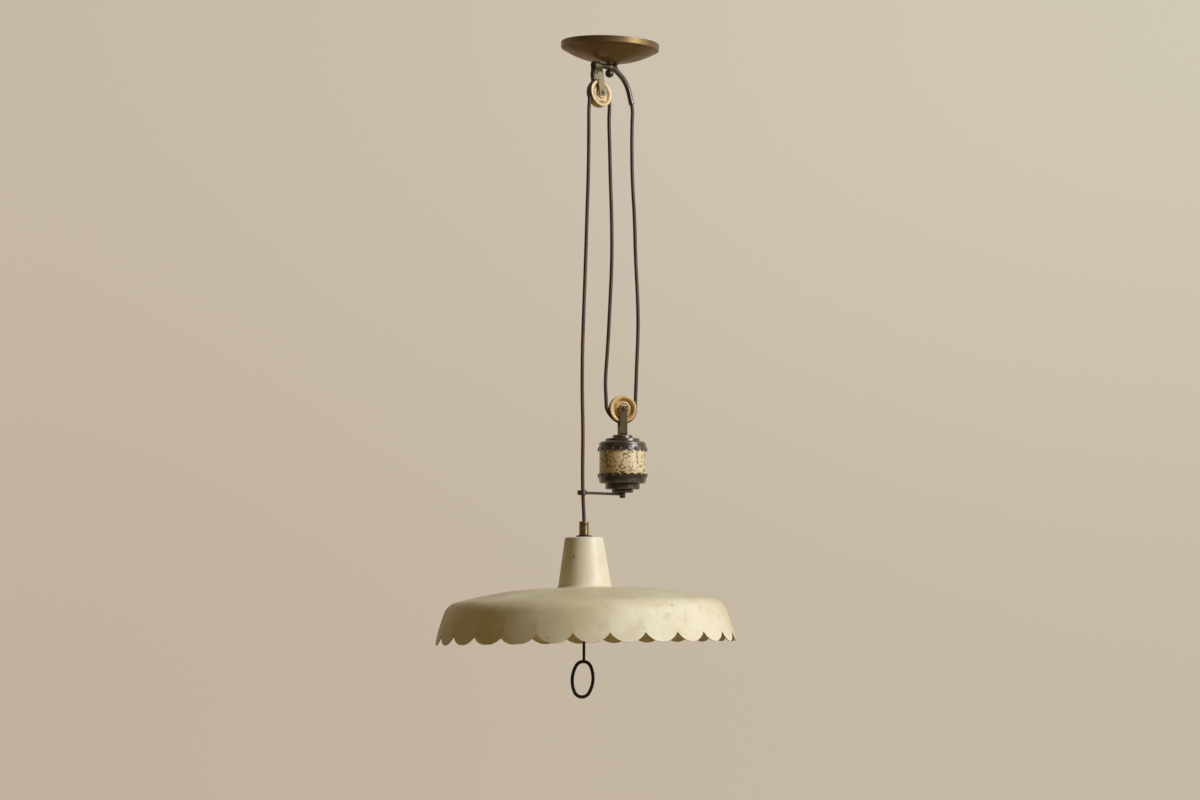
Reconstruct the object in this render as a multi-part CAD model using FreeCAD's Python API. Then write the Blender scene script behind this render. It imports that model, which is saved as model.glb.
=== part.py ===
"""Rise and fall pendant lamp: a ceiling plate with an arm tube and a pulley, a counterweight that
hangs in the loop of the flex, and a wide scalloped shade with a pull ring.

Millimetres. The origin is on the ceiling, on the axis of the ceiling plate. +Z is up, +X is to the
right and +Y points away from a viewer who stands in front of the lamp.
"""
import FreeCAD
import Part
import math
import os

Vector = FreeCAD.Vector
Rotation = FreeCAD.Rotation
Placement = FreeCAD.Placement
UP = Vector(0, 0, 1)
os.makedirs("parts", exist_ok=True)

# --- shared fits -------------------------------------------------------------------------------
running_gap = 0.05
slip_gap = 0.1
free_gap = 0.3

# --- flex --------------------------------------------------------------------------------------
cord_d = 5.6
cord_r = cord_d / 2
cord_hole_gap = 0.3

# --- ceiling plate, strap and stem -------------------------------------------------------------
canopy_r = 75.5
canopy_rim = 10.5
canopy_corner_r = 2.5
canopy_depth = 31.0
canopy_wall = 1.2
strap_thick = 2.0
strap_width = 16.0
strap_half = 55.0
strap_hole_pitch = 89.0
strap_hole_r = 2.4
strap_drop = 8.0
strap_flat_half = 22.0
strap_bend = 3.0
stem_d = 4.0
stem_nut_af = 7.0
stem_nut_h = 3.2
stem_nut_clear = 1.0
washer_r = 5.0

# --- arm tube, in the vertical plane that the ceiling hardware stands in -----------------------
plane_turn = 42.0
tube_z = -36.5
tube_r = 4.2
tube_bore_r = 3.1
tube_left = -33.0
tube_corner_1 = (8.0, -36.5)
tube_corner_2 = (30.5, -52.9)
tube_corner_3 = (39.5, -67.5)
tube_mouth = (46.2, -90.0)
tube_bend_1 = 14.0
tube_bend_2 = 38.0
tube_bend_3 = 55.0
plug_lip = 1.6
plug_edge_r = 0.6
plug_depth = 3.0
collar_width = 5.6
collar_r = 4.9
collar_flat = 4.6
finial_r = 6.8
finial_flat = 5.4
cord_entry = 11.0
cord_entry_bend = 12.0
bush_flange_r = 5.7
bush_flange = 0.8
bush_wall = 1.3
block_size = (22.0, 13.0, 13.0)
block_corner = (4.8, 1.0)
block_edge_r = 1.0
block_screw_r = 1.6
block_screw_head_r = 2.9
block_screw_in = (6.0, 4.0)
wire_ways = 3
wire_way_r = 1.7
wire_way_depth = 4.0

# --- pulleys, forks and axles ------------------------------------------------------------------
pulley_r = 21.0
cord_run_r = 20.3
groove_spread = 52.0
pulley_half = 6.2
pulley_land_r = 17.2
pulley_web = 2.3
pulley_web_r = 9.2
hub_r = 6.6
hub_half = 6.4
bush_r = 3.4
axle_r = 2.0
axle_head_r = 3.0
axle_head = 1.0
fork_gap = 7.0
fork_thick = 1.6
fork_width = 12.0
fork_end = 4.6
ceiling_fork_at = -27.7
ceiling_fork_lean = 9.0
ceiling_axle_drop = 46.0
fork_shoulder_drop = 13.0
fork_shoulder_bend = 9.0
fork_saddle_bend = 5.0
weight_fork_bend = 2.4
rivet_r = 1.5
rivet_head_r = 2.6
rivet_head = 0.8

# --- counterweight -----------------------------------------------------------------------------
weight_x = 20.0
weight_y = 13.0
weight_turn = 13.0
weight_axle_z = -564.0
weight_fork_drop = 39.7
boss_r = 15.5
boss_h = 5.4
shoulder_r = 26.5
shoulder_h = 5.0
cap_r = 36.5
cap_wall = 0.9
cap_skirt = 14.5
cap_edge_r = 3.0
drum_h = 64.0
sleeve_r = 35.5
sleeve_wall = 0.8
base_cap_skirt = 15.0
step_edge_r = 1.5
base_step_h = 9.0
base_boss_r = 16.5
base_boss_h = 5.4
scallops_on_caps = 20
cap_scallop_depth = 5.5
weight_rod_r = 2.5
weight_rod_nut_af = 8.0
arm_hub_r = 4.5
arm_hub_h = 4.6
weight_nut_h = 3.4
guide_rod_r = 2.1
guide_eye_x = -41.7
guide_eye_y = -45.2
guide_eye_r = 7.3
guide_eye_bore_r = 4.7
guide_eye_h = 7.0

# --- lamp head ---------------------------------------------------------------------------------
lamp_x = -38.8
lamp_y = -44.0
grip_top = -738.4
grip_r = 7.5
grip_h = 21.1
grip_grooves = 12
grip_groove_depth = 0.35
grip_socket = 9.0
grip_washer_r = 11.6
grip_washer_h = 2.7
neck_top_r = 28.8
neck_foot_r = 39.8
neck_h = 71.5
neck_corner_r = 3.0
neck_fillet = 5.0
shade_wall = 1.2
crown_r = 595.0
crown_angle = 14.58
shoulder_bend_r = 28.0
shoulder_angle = 70.0
skirt_bend_r = 373.0
skirt_angle = 77.5
scallops = 26
scallop_depth = 14.5
scallop_turn = -94.4
pipe_r = 5.0
pipe_bore_r = 3.2
pipe_drop = 89.0
lock_nut_af = 14.0
lock_nut_h = 3.0
cluster_r = 21.0
cluster_h = 30.0
cluster_corner = 3.0
cluster_wall = 3.5
cluster_roof = 9.0
lid_flange = 2.2
lid_spigot = 3.0
lid_boss_r = 6.0
lid_boss_h = 7.0
holders = 3
holder_tilt = 3.0
holder_turn = 90.0
holder_r = 17.0
holder_h = 30.0
holder_neck_r = 8.0
holder_neck_h = 6.0
holder_wall = 0.8
insert_wall = 2.2
insert_floor = 6.0
screw_cap_r = 12.6
screw_cap_h = 22.0
screw_cap_wall = 1.0
screw_cap_base = 4.6
cap_contact_r = 4.0
bulb_r = 24.0
bulb_h = 60.0
bulb_wall = 0.9
bulb_neck_h = 4.0
bulb_neck_in = 0.6
bulb_hollow = 0.8
bulb_join_angle = 140.0
pull_rod_r = 2.15
pull_rod_drop = 68.8
ring_wide = 36.5
ring_tall = 58.6
ring_wire_r = 2.6
ring_lean = 3.9

exported = []


def export(shape, name):
    """Write one sub-part."""
    if not shape.isValid():
        print("INVALID", name)
    shape.exportStep("parts/" + name + ".step")
    exported.append(name)
    print("%-18s solids %d  volume %10.1f mm3" % (name, len(shape.Solids), shape.Volume))


def one(shape):
    """The single solid of a boolean result."""
    if len(shape.Solids) == 1:
        return shape.Solids[0]
    return shape


def line(a, b):
    return Part.LineSegment(a, b).toShape()


def arc(a, middle, b):
    return Part.Arc(a, middle, b).toShape()


def turned(outline):
    """Revolve a closed outline about Z. Each item is (r, z), or ("arc", (r, z), (r, z)) for an arc
    through a middle point to an end point."""
    edges = []
    start = Vector(outline[0][0], 0, outline[0][1])
    here = start
    for item in list(outline[1:]) + [outline[0]]:
        if item[0] == "arc":
            middle = Vector(item[1][0], 0, item[1][1])
            end = Vector(item[2][0], 0, item[2][1])
            edges.append(arc(here, middle, end))
        else:
            end = Vector(item[0], 0, item[1])
            if (end - here).Length > 1e-6:
                edges.append(line(here, end))
        here = end
    face = Part.Face(Part.Wire(edges))
    return face.revolve(Vector(0, 0, 0), UP, 360)


def cylinder(r, h, base=Vector(0, 0, 0), axis=UP):
    return Part.makeCylinder(r, h, base, axis)


def ring(outer_r, inner_r, h, base):
    return cylinder(outer_r, h, base).cut(cylinder(inner_r, h + 2, base - Vector(0, 0, 1)))


def hexagon(across_flats, h, base):
    corner_r = across_flats / 2 / math.cos(math.radians(30))
    corners = []
    for i in range(7):
        angle = math.radians(60 * i)
        corners.append(base + Vector(corner_r * math.cos(angle), corner_r * math.sin(angle), 0))
    return Part.Face(Part.makePolygon(corners)).extrude(Vector(0, 0, h))


def route_wire(points, radii=None):
    """Straight runs joined by tangent arcs. Without given radii, each arc is as large as 0.45 of
    its shorter run allows."""
    edges = []
    used = []
    here = points[0]
    for i in range(1, len(points) - 1):
        before = points[i] - points[i - 1]
        after = points[i + 1] - points[i]
        turn = before.getAngle(after)
        radius = 0.45 * min(before.Length, after.Length) / math.tan(turn / 2)
        if radii and radii[i - 1]:
            radius = radii[i - 1]
        used.append(radius)
        reach = radius * math.tan(turn / 2)
        before.normalize()
        after.normalize()
        start = points[i] - before * reach
        end = points[i] + after * reach
        inward = after - before
        inward.normalize()
        middle = points[i] + inward * (radius / math.cos(turn / 2) - radius)
        if (start - here).Length > 1e-6:
            edges.append(line(here, start))
        edges.append(arc(start, middle, end))
        here = end
    if (points[-1] - here).Length > 1e-6:
        edges.append(line(here, points[-1]))
    return Part.Wire(edges), used


def pipe(wire, radius):
    """A round bar along a wire."""
    first = wire.OrderedEdges[0]
    start = first.valueAt(first.FirstParameter)
    direction = first.tangentAt(first.FirstParameter)
    circle = Part.Wire([Part.Circle(start, direction, radius).toShape()])
    return wire.makePipeShell([circle], True, False)


def strap_along(wire, thick, width, across):
    """A flat strap swept along a wire; across is the direction of its width."""
    first = wire.OrderedEdges[0]
    start = first.valueAt(first.FirstParameter)
    direction = first.tangentAt(first.FirstParameter)
    side = direction.cross(across)
    side.normalize()
    corners = []
    for a, b in ((-1, -1), (1, -1), (1, 1), (-1, 1), (-1, -1)):
        corners.append(start + side * (a * thick / 2) + across * (b * width / 2))
    return wire.makePipeShell([Part.makePolygon(corners)], True, False)


def placed(shape, placement):
    copy = shape.copy()
    copy.Placement = placement.multiply(copy.Placement)
    return copy


def flex(name, route):
    """A length of flex along a route of (point, bend or None), with its radii and volume printed."""
    points = [point for point, bend in route]
    wire, used = route_wire(points, [bend for point, bend in route[1:-1]])
    solid = pipe(wire, cord_r)
    ideal = math.pi * cord_r ** 2 * wire.Length
    print("%s: length %.1f, radii %s" % (name, wire.Length, ", ".join("%.0f" % r for r in used)))
    print("%s: volume / (section x length) %.5f" % (name, solid.Volume / ideal))
    return one(solid)


# --- frames ------------------------------------------------------------------------------------
ceiling_frame = Placement(Vector(0, 0, 0), Rotation(UP, plane_turn))
fork_local = Placement(Vector(ceiling_fork_at, 0, tube_z), Rotation(Vector(1, 0, 0), -ceiling_fork_lean))
fork_frame = ceiling_frame.multiply(fork_local)
weight_frame = Placement(Vector(weight_x, weight_y, 0), Rotation(UP, weight_turn))
lamp_frame = Placement(Vector(lamp_x, lamp_y, 0), Rotation())


def in_plane(s, z):
    """A point of the ceiling hardware's vertical plane."""
    return ceiling_frame.multVec(Vector(s, 0, z))


# --- mounting strap, stem and nuts -------------------------------------------------------------
def mounting_strap():
    z_top = -strap_thick / 2
    z_low = z_top - strap_drop
    joggle = strap_drop
    points = [
        Vector(-strap_half, 0, z_top),
        Vector(-strap_flat_half - joggle, 0, z_top),
        Vector(-strap_flat_half, 0, z_low),
        Vector(strap_flat_half, 0, z_low),
        Vector(strap_flat_half + joggle, 0, z_top),
        Vector(strap_half, 0, z_top),
    ]
    wire, _ = route_wire(points, [strap_bend] * 4)
    body = strap_along(wire, strap_thick, strap_width, Vector(0, 1, 0))
    for side in (-1, 1):
        at = Vector(side * strap_hole_pitch / 2, 0, -strap_thick - 1)
        body = body.cut(cylinder(strap_hole_r, strap_thick + 2, at))
    body = body.cut(cylinder(stem_d / 2 + slip_gap, 30, Vector(0, 0, -25)))
    screw_at = Vector(block_screw_x, block_screw_y, -25)
    body = body.cut(cylinder(block_screw_r + slip_gap, 30, screw_at))
    return one(body)


strap_low_top = -strap_drop
strap_low_bottom = -strap_drop - strap_thick
block_screw_x = block_corner[0] + block_size[0] - block_screw_in[0]
block_screw_y = block_corner[1] + block_screw_in[1]
collar_bottom = tube_z - collar_flat
stem_end = collar_bottom - finial_flat - stem_nut_clear
stem_top = strap_low_top + stem_nut_h + stem_nut_clear

export(mounting_strap(), "mounting_strap")
export(cylinder(stem_d / 2, stem_top - stem_end, Vector(0, 0, stem_end)), "stem")


def nut(across_flats, height, z, bore_r):
    blank = hexagon(across_flats, height, Vector(0, 0, z))
    blank = blank.cut(cylinder(bore_r + running_gap, height + 2, Vector(0, 0, z - 1)))
    corner_r = across_flats / 2 / math.cos(math.radians(30))
    barrel = turned([
        (0, z - 0.01),
        (across_flats / 2 - 0.1, z - 0.01),
        (corner_r + 0.01, z + 0.5),
        (corner_r + 0.01, z + height - 0.5),
        (across_flats / 2 - 0.1, z + height + 0.01),
        (0, z + height + 0.01),
    ])
    return one(blank.common(barrel))


stem_nuts = Part.makeCompound([
    nut(stem_nut_af, stem_nut_h, strap_low_top, stem_d / 2),
    nut(stem_nut_af, stem_nut_h, strap_low_bottom - stem_nut_h, stem_d / 2),
])
export(stem_nuts, "stem_nuts")

# --- ceiling plate -----------------------------------------------------------------------------
dish_edge_r = canopy_r - canopy_corner_r
dish_rise = canopy_depth - canopy_rim
dish_r = (dish_edge_r ** 2 + dish_rise ** 2) / (2 * dish_rise)


def dish_z(r, offset=0.0):
    """Height of the dish at radius r; offset moves the surface up by the wall."""
    radius = dish_r - offset
    return -canopy_depth + dish_r - math.sqrt(radius ** 2 - r ** 2)


def canopy_shell():
    inner_r = canopy_r - canopy_wall
    inner_edge = inner_r - canopy_corner_r
    corner = canopy_corner_r
    low = -canopy_rim
    slope = math.asin(dish_edge_r / dish_r) / 2
    bulge = (dish_edge_r + corner * math.sin(math.pi / 4), low + corner - corner * math.cos(math.pi / 4))
    outline = [
        (0, -canopy_depth),
        ("arc", (dish_edge_r / 2, dish_z(dish_edge_r / 2)), (dish_edge_r, low)),
        ("arc", bulge, (canopy_r, low + corner)),
        (canopy_r, 0),
        (inner_r, 0),
        (inner_r, low + corner + canopy_wall),
        (inner_edge, dish_z(inner_edge, canopy_wall)),
        ("arc", (inner_edge / 2, dish_z(inner_edge / 2, canopy_wall)), (0, -canopy_depth + canopy_wall)),
    ]
    shell = turned(outline)
    shell = shell.cut(cylinder(stem_d / 2 + slip_gap, 20, Vector(0, 0, -canopy_depth - 10)))
    entry = in_plane(cord_entry, -canopy_depth - 10)
    shell = shell.cut(cylinder(bush_body_r + slip_gap, 20, entry))
    return one(shell)


bush_bore_r = cord_r + cord_hole_gap
bush_body_r = bush_bore_r + bush_wall
export(canopy_shell(), "canopy")

washer_top = -canopy_depth
washer_low = tube_z + collar_flat
canopy_washer = ring(washer_r, stem_d / 2 + slip_gap, washer_top - washer_low, Vector(0, 0, washer_low))
export(one(canopy_washer), "canopy_washer")


def cord_bush():
    """Insulating bush that snaps into the cord hole: a flange below and one above the plate."""
    near_edge = max(0, cord_entry - bush_flange_r)
    far_edge = cord_entry + bush_flange_r
    low_top = dish_z(near_edge) - slip_gap / 2
    high_low = dish_z(far_edge, canopy_wall) + slip_gap / 2
    outline = [
        (bush_bore_r, low_top - bush_flange),
        (bush_flange_r, low_top - bush_flange),
        (bush_flange_r, low_top),
        (bush_body_r, low_top),
        (bush_body_r, high_low),
        (bush_flange_r, high_low),
        (bush_body_r, high_low + 2 * bush_flange),
        (bush_bore_r, high_low + 2 * bush_flange),
    ]
    return placed(turned(outline), Placement(in_plane(cord_entry, 0), Rotation()))


export(cord_bush(), "cord_bush")


def terminal_block():
    """Block under the strap where the flex is joined to the ceiling wires."""
    x, y = block_corner
    long, wide, tall = block_size
    block = Part.makeBox(long, wide, tall, Vector(x, y, strap_low_bottom - tall))
    block = block.makeFillet(block_edge_r, [e for e in block.Edges if abs(e.tangentAt(0).z) > 0.9])
    for i in range(wire_ways):
        at = Vector(x + long * (i + 0.5) / wire_ways, y - 1, strap_low_bottom - tall * 0.55)
        block = block.cut(cylinder(wire_way_r, wire_way_depth + 1, at, Vector(0, 1, 0)))
    screw_at = Vector(block_screw_x, block_screw_y, strap_low_bottom - tall - 1)
    block = block.cut(cylinder(block_screw_r + slip_gap, tall + 2, screw_at))
    return one(block)


export(terminal_block(), "terminal_block")
block_bottom = strap_low_bottom - block_size[2]
block_screw_top = strap_low_top + 1.0
block_screw_low = Vector(block_screw_x, block_screw_y, block_bottom)
block_screw = cylinder(block_screw_r, block_screw_top - block_bottom, block_screw_low)
block_screw = block_screw.fuse(cylinder(block_screw_head_r, 1.6, block_screw_low - Vector(0, 0, 1.6)))
export(one(block_screw), "block_screw")

# --- arm tube ----------------------------------------------------------------------------------
tube_points = [in_plane(tube_left, tube_z)]
for corner in (tube_corner_1, tube_corner_2, tube_corner_3, tube_mouth):
    tube_points.append(in_plane(*corner))
tube_bends = [tube_bend_1, tube_bend_2, tube_bend_3]
tube_wire, _ = route_wire(tube_points, tube_bends)

slope = (tube_corner_2[1] - tube_corner_1[1]) / (tube_corner_2[0] - tube_corner_1[0])
entry_z = tube_corner_1[1] + slope * (cord_entry - tube_corner_1[0])
feed_points = [in_plane(cord_entry, block_bottom), in_plane(cord_entry, entry_z)] + tube_points[2:]
feed_bends = [cord_entry_bend, tube_bend_2, tube_bend_3]


def arm_tube():
    body = pipe(tube_wire, tube_r).cut(pipe(tube_wire, tube_bore_r))
    wire, _ = route_wire(feed_points, feed_bends)
    body = body.cut(pipe(wire, tube_bore_r))
    body = body.cut(cylinder(stem_d / 2 + slip_gap, 20, Vector(0, 0, tube_z - 10)))
    across = fork_frame.Rotation.multVec(Vector(0, 1, 0))
    pin_at = in_plane(ceiling_fork_at, tube_z)
    body = body.cut(cylinder(rivet_r + running_gap, 20, pin_at - across * 10, across))
    return one(body)


export(arm_tube(), "arm_tube")
feed_route = list(zip(feed_points, [None] + feed_bends + [None]))
export(flex("feed_cord", feed_route), "feed_cord")

plug_bulge = 0.293 * plug_edge_r
plug = turned([
    (0, -plug_depth),
    (tube_bore_r - running_gap, -plug_depth),
    (tube_bore_r - running_gap, 0),
    (tube_r, 0),
    (tube_r, plug_lip - plug_edge_r),
    ("arc", (tube_r - plug_bulge, plug_lip - plug_bulge), (tube_r - plug_edge_r, plug_lip)),
    (0, plug_lip),
])
plug_local = Placement(Vector(tube_left, 0, tube_z), Rotation(Vector(0, 1, 0), -90))
export(placed(plug, ceiling_frame.multiply(plug_local)), "end_plug")
along = ceiling_frame.Rotation.multVec(Vector(1, 0, 0))


def brass_collar():
    """Saddle collar round the tube, flat above and below so that it seats."""
    at = in_plane(-collar_width / 2, tube_z)
    body = cylinder(collar_r, collar_width, at, along)
    body = body.cut(cylinder(tube_r + running_gap, collar_width, at, along))
    keep = Part.makeBox(40, 40, 2 * collar_flat, Vector(-20, -20, tube_z - collar_flat))
    body = body.common(keep)
    return one(body.cut(cylinder(stem_d / 2 + slip_gap, 20, Vector(0, 0, tube_z - 10))))


export(brass_collar(), "stem_collar")

finial_z = collar_bottom - finial_flat
finial = Part.makeSphere(finial_r, Vector(0, 0, finial_z))
finial = finial.cut(Part.makeBox(40, 40, 20, Vector(-20, -20, collar_bottom)))
finial = finial.cut(cylinder(stem_d / 2 + running_gap, 40, Vector(0, 0, stem_end - 0.5)))
export(one(finial), "ball_finial")


# --- ceiling fork, rivet and axle --------------------------------------------------------------
leg_mid = fork_gap + fork_thick / 2
saddle_mid = tube_r + running_gap + fork_thick / 2


def ceiling_fork():
    """A strap bent over the arm tube: a tight saddle, round shoulders and two straight legs."""
    bottom = -ceiling_axle_drop - fork_end
    shoulder = -fork_shoulder_drop
    points = [
        Vector(0, -leg_mid, bottom),
        Vector(0, -leg_mid, shoulder),
        Vector(0, -saddle_mid, -tube_r - 1.0),
        Vector(0, -saddle_mid, 0),
    ]
    side, _ = route_wire(points, [fork_shoulder_bend, fork_saddle_bend])
    edges = list(side.OrderedEdges)
    edges.append(arc(Vector(0, -saddle_mid, 0), Vector(0, 0, saddle_mid), Vector(0, saddle_mid, 0)))
    mirror = [Vector(0, -p.y, p.z) for p in reversed(points)]
    other, _ = route_wire(mirror, [fork_saddle_bend, fork_shoulder_bend])
    edges += list(other.OrderedEdges)
    body = strap_along(Part.Wire(edges), fork_thick, fork_width, Vector(1, 0, 0))
    pin = cylinder(axle_r + running_gap, 40, Vector(0, -20, -ceiling_axle_drop), Vector(0, 1, 0))
    body = body.cut(pin)
    rivet = cylinder(rivet_r + running_gap, 40, Vector(0, -20, 0), Vector(0, 1, 0))
    return one(placed(body.cut(rivet), fork_frame))


export(ceiling_fork(), "ceiling_fork")


def pin_with_heads(radius, head_r, head, half_length):
    """A pin along Y with a low domed head on each end."""
    end = half_length + head
    dome_r = (head_r ** 2 + head ** 2) / (2 * head)
    dome_mid = half_length + head - dome_r + math.sqrt(dome_r ** 2 - head_r ** 2 / 4)
    pin = turned([
        (0, -end),
        ("arc", (head_r / 2, -dome_mid), (head_r, -half_length)),
        (radius, -half_length),
        (radius, half_length),
        (head_r, half_length),
        ("arc", (head_r / 2, dome_mid), (0, end)),
    ])
    return placed(pin, Placement(Vector(0, 0, 0), Rotation(Vector(1, 0, 0), 90)))


saddle_outer = saddle_mid + fork_thick / 2
fork_outer = fork_gap + fork_thick
export(placed(pin_with_heads(rivet_r, rivet_head_r, rivet_head, saddle_outer), fork_frame), "fork_rivet")
axle_pin = pin_with_heads(axle_r, axle_head_r, axle_head, fork_outer)
ceiling_pulley_frame = fork_frame.multiply(Placement(Vector(0, 0, -ceiling_axle_drop), Rotation()))
export(placed(axle_pin, ceiling_pulley_frame), "ceiling_axle")


# --- pulleys -----------------------------------------------------------------------------------
def pulley_wheel():
    """Grooved wheel about Y: a round-bottomed groove that flares, a flat land, dished faces."""
    groove = cord_r + free_gap
    spread = math.radians(groove_spread)
    edge_a = groove * math.sin(spread)
    edge_r = cord_run_r - groove * math.cos(spread)
    flare = edge_a + (pulley_r - edge_r) / math.tan(spread)
    bowl_a = (pulley_half + pulley_web) / 2 - 0.6
    bowl_r = (pulley_land_r + pulley_web_r) / 2
    edge = 0.5
    outline = [
        (bush_r + running_gap, -hub_half),
        (hub_r, -hub_half),
        (hub_r + 0.6, -pulley_web - 0.8),
        (pulley_web_r, -pulley_web),
        ("arc", (bowl_r, -bowl_a), (pulley_land_r, -pulley_half)),
        (pulley_r - edge, -pulley_half),
        (pulley_r, -pulley_half + edge),
        (pulley_r, -flare),
        (edge_r, -edge_a),
        ("arc", (cord_run_r - groove, 0), (edge_r, edge_a)),
        (pulley_r, flare),
        (pulley_r, pulley_half - edge),
        (pulley_r - edge, pulley_half),
        (pulley_land_r, pulley_half),
        ("arc", (bowl_r, bowl_a), (pulley_web_r, pulley_web)),
        (hub_r + 0.6, pulley_web + 0.8),
        (hub_r, hub_half),
        (bush_r + running_gap, hub_half),
    ]
    return placed(turned(outline), Placement(Vector(0, 0, 0), Rotation(Vector(1, 0, 0), 90)))


def pulley_bush():
    """Plain bearing pressed in the wheel; its ends run against the fork."""
    length = 2 * (fork_gap - slip_gap)
    tube = ring(bush_r, axle_r + running_gap, length, Vector(0, 0, -length / 2))
    return placed(one(tube), Placement(Vector(0, 0, 0), Rotation(Vector(1, 0, 0), 90)))


weight_pulley_frame = weight_frame.multiply(Placement(Vector(0, 0, weight_axle_z), Rotation()))
export(placed(pulley_wheel(), ceiling_pulley_frame), "ceiling_pulley")
export(placed(pulley_bush(), ceiling_pulley_frame), "ceiling_bush")
export(placed(pulley_wheel(), weight_pulley_frame), "weight_pulley")
export(placed(pulley_bush(), weight_pulley_frame), "weight_bush")


# --- counterweight -----------------------------------------------------------------------------
def scallop_cutter(edge_r, pitch_angle, depth, z_tip, upward, count, turn):
    """Prisms that leave round lobes on the edge of a drum. The lobes' tips are at z_tip, and point
    down unless upward is set. One prism stands astride each notch."""
    half = edge_r * math.sin(math.radians(pitch_angle / 2))
    sign = -1 if upward else 1
    lobe_r = (half ** 2 + depth ** 2) / (2 * depth)
    quarter = math.asin(half / 2 / lobe_r)
    mid_z = z_tip + sign * (lobe_r - lobe_r * math.cos(quarter))
    notch_z = z_tip + sign * depth
    low_z = z_tip - sign * 2.0
    inner = edge_r * 0.86
    outer = edge_r * 1.06
    tip_left = Vector(inner, -half, z_tip)
    tip_right = Vector(inner, half, z_tip)
    notch = Vector(inner, 0, notch_z)
    mid_left = Vector(inner, -half / 2, mid_z)
    mid_right = Vector(inner, half / 2, mid_z)
    edges = [
        arc(tip_left, mid_left, notch),
        arc(notch, mid_right, tip_right),
        line(tip_right, Vector(inner, half, low_z)),
        line(Vector(inner, half, low_z), Vector(inner, -half, low_z)),
        line(Vector(inner, -half, low_z), tip_left),
    ]
    prism = Part.Face(Part.Wire(edges)).extrude(Vector(outer - inner, 0, 0))
    cutters = []
    for i in range(count):
        angle = turn + i * 360.0 / count
        cutters.append(placed(prism, Placement(Vector(0, 0, 0), Rotation(UP, angle))))
    return cutters


def scalloped(body, cutters):
    """Cut the notches one after another: neighbouring prisms overlap a little at the tips."""
    for cutter in cutters:
        body = body.cut(cutter)
    return one(body)


boss_top = weight_axle_z - weight_fork_drop
shoulder_top = boss_top - boss_h
drum_top = shoulder_top - shoulder_h
drum_bottom = drum_top - drum_h
inner_cap_r = sleeve_r + slip_gap
core_top = drum_top - 2 * cap_wall
core_bottom = drum_bottom + 2 * cap_wall
step_bulge = 0.293 * step_edge_r
cap_bulge = 0.293 * cap_edge_r


def top_cap():
    outline = [
        (weight_rod_r + slip_gap, boss_top),
        (boss_r - step_edge_r, boss_top),
        ("arc", (boss_r - step_bulge, boss_top - step_bulge), (boss_r, boss_top - step_edge_r)),
        (boss_r, shoulder_top),
        (shoulder_r - step_edge_r, shoulder_top),
        ("arc", (shoulder_r - step_bulge, shoulder_top - step_bulge),
         (shoulder_r, shoulder_top - step_edge_r)),
        (shoulder_r, drum_top),
        (cap_r - cap_edge_r, drum_top),
        ("arc", (cap_r - cap_bulge, drum_top - cap_bulge), (cap_r, drum_top - cap_edge_r)),
        (cap_r, drum_top - cap_skirt),
        (inner_cap_r, drum_top - cap_skirt),
        (inner_cap_r, core_top),
        (weight_rod_r + slip_gap, core_top),
    ]
    body = turned(outline)
    cutters = scallop_cutter(cap_r, 360.0 / scallops_on_caps, cap_scallop_depth,
                             drum_top - cap_skirt, False, scallops_on_caps, 0.0)
    return placed(scalloped(body, cutters), weight_frame)


def bottom_cap():
    step_low = drum_bottom - base_step_h
    boss_low = step_low - base_boss_h
    edge_top = drum_bottom + base_cap_skirt
    outline = [
        (weight_rod_r + slip_gap, boss_low),
        (base_boss_r - step_edge_r, boss_low),
        ("arc", (base_boss_r - step_bulge, boss_low + step_bulge), (base_boss_r, boss_low + step_edge_r)),
        (base_boss_r, step_low),
        (shoulder_r - step_edge_r, step_low),
        ("arc", (shoulder_r - step_bulge, step_low + step_bulge), (shoulder_r, step_low + step_edge_r)),
        (shoulder_r, drum_bottom),
        (cap_r - cap_edge_r, drum_bottom),
        ("arc", (cap_r - cap_bulge, drum_bottom + cap_bulge), (cap_r, drum_bottom + cap_edge_r)),
        (cap_r, edge_top),
        (inner_cap_r, edge_top),
        (inner_cap_r, core_bottom),
        (weight_rod_r + slip_gap, core_bottom),
    ]
    body = turned(outline)
    cutters = scallop_cutter(cap_r, 360.0 / scallops_on_caps, cap_scallop_depth,
                             edge_top, True, scallops_on_caps, 0.0)
    return placed(scalloped(body, cutters), weight_frame)


export(top_cap(), "weight_top_cap")
export(bottom_cap(), "weight_bottom_cap")
sleeve_h = core_top - core_bottom
sleeve_base = Vector(0, 0, core_bottom)
sleeve = ring(sleeve_r, sleeve_r - sleeve_wall, sleeve_h, sleeve_base)
export(placed(one(sleeve), weight_frame), "weight_sleeve")
core_r = sleeve_r - sleeve_wall - slip_gap
core = ring(core_r, weight_rod_r + slip_gap, sleeve_h, sleeve_base)
export(placed(one(core), weight_frame), "weight_core")

base_boss_low = drum_bottom - base_step_h - base_boss_h
arm_hub_low = base_boss_low - arm_hub_h
weight_rod_low = arm_hub_low - weight_nut_h + 0.8
rod_nut_z = boss_top + fork_thick
weight_rod_top = rod_nut_z + stem_nut_h + 1.2
weight_rod = cylinder(weight_rod_r, weight_rod_top - weight_rod_low, Vector(0, 0, weight_rod_low))
export(placed(weight_rod, weight_frame), "weight_rod")
weight_rod_nut = nut(weight_rod_nut_af, stem_nut_h, rod_nut_z, weight_rod_r)
export(placed(weight_rod_nut, weight_frame), "weight_rod_nut")


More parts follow.
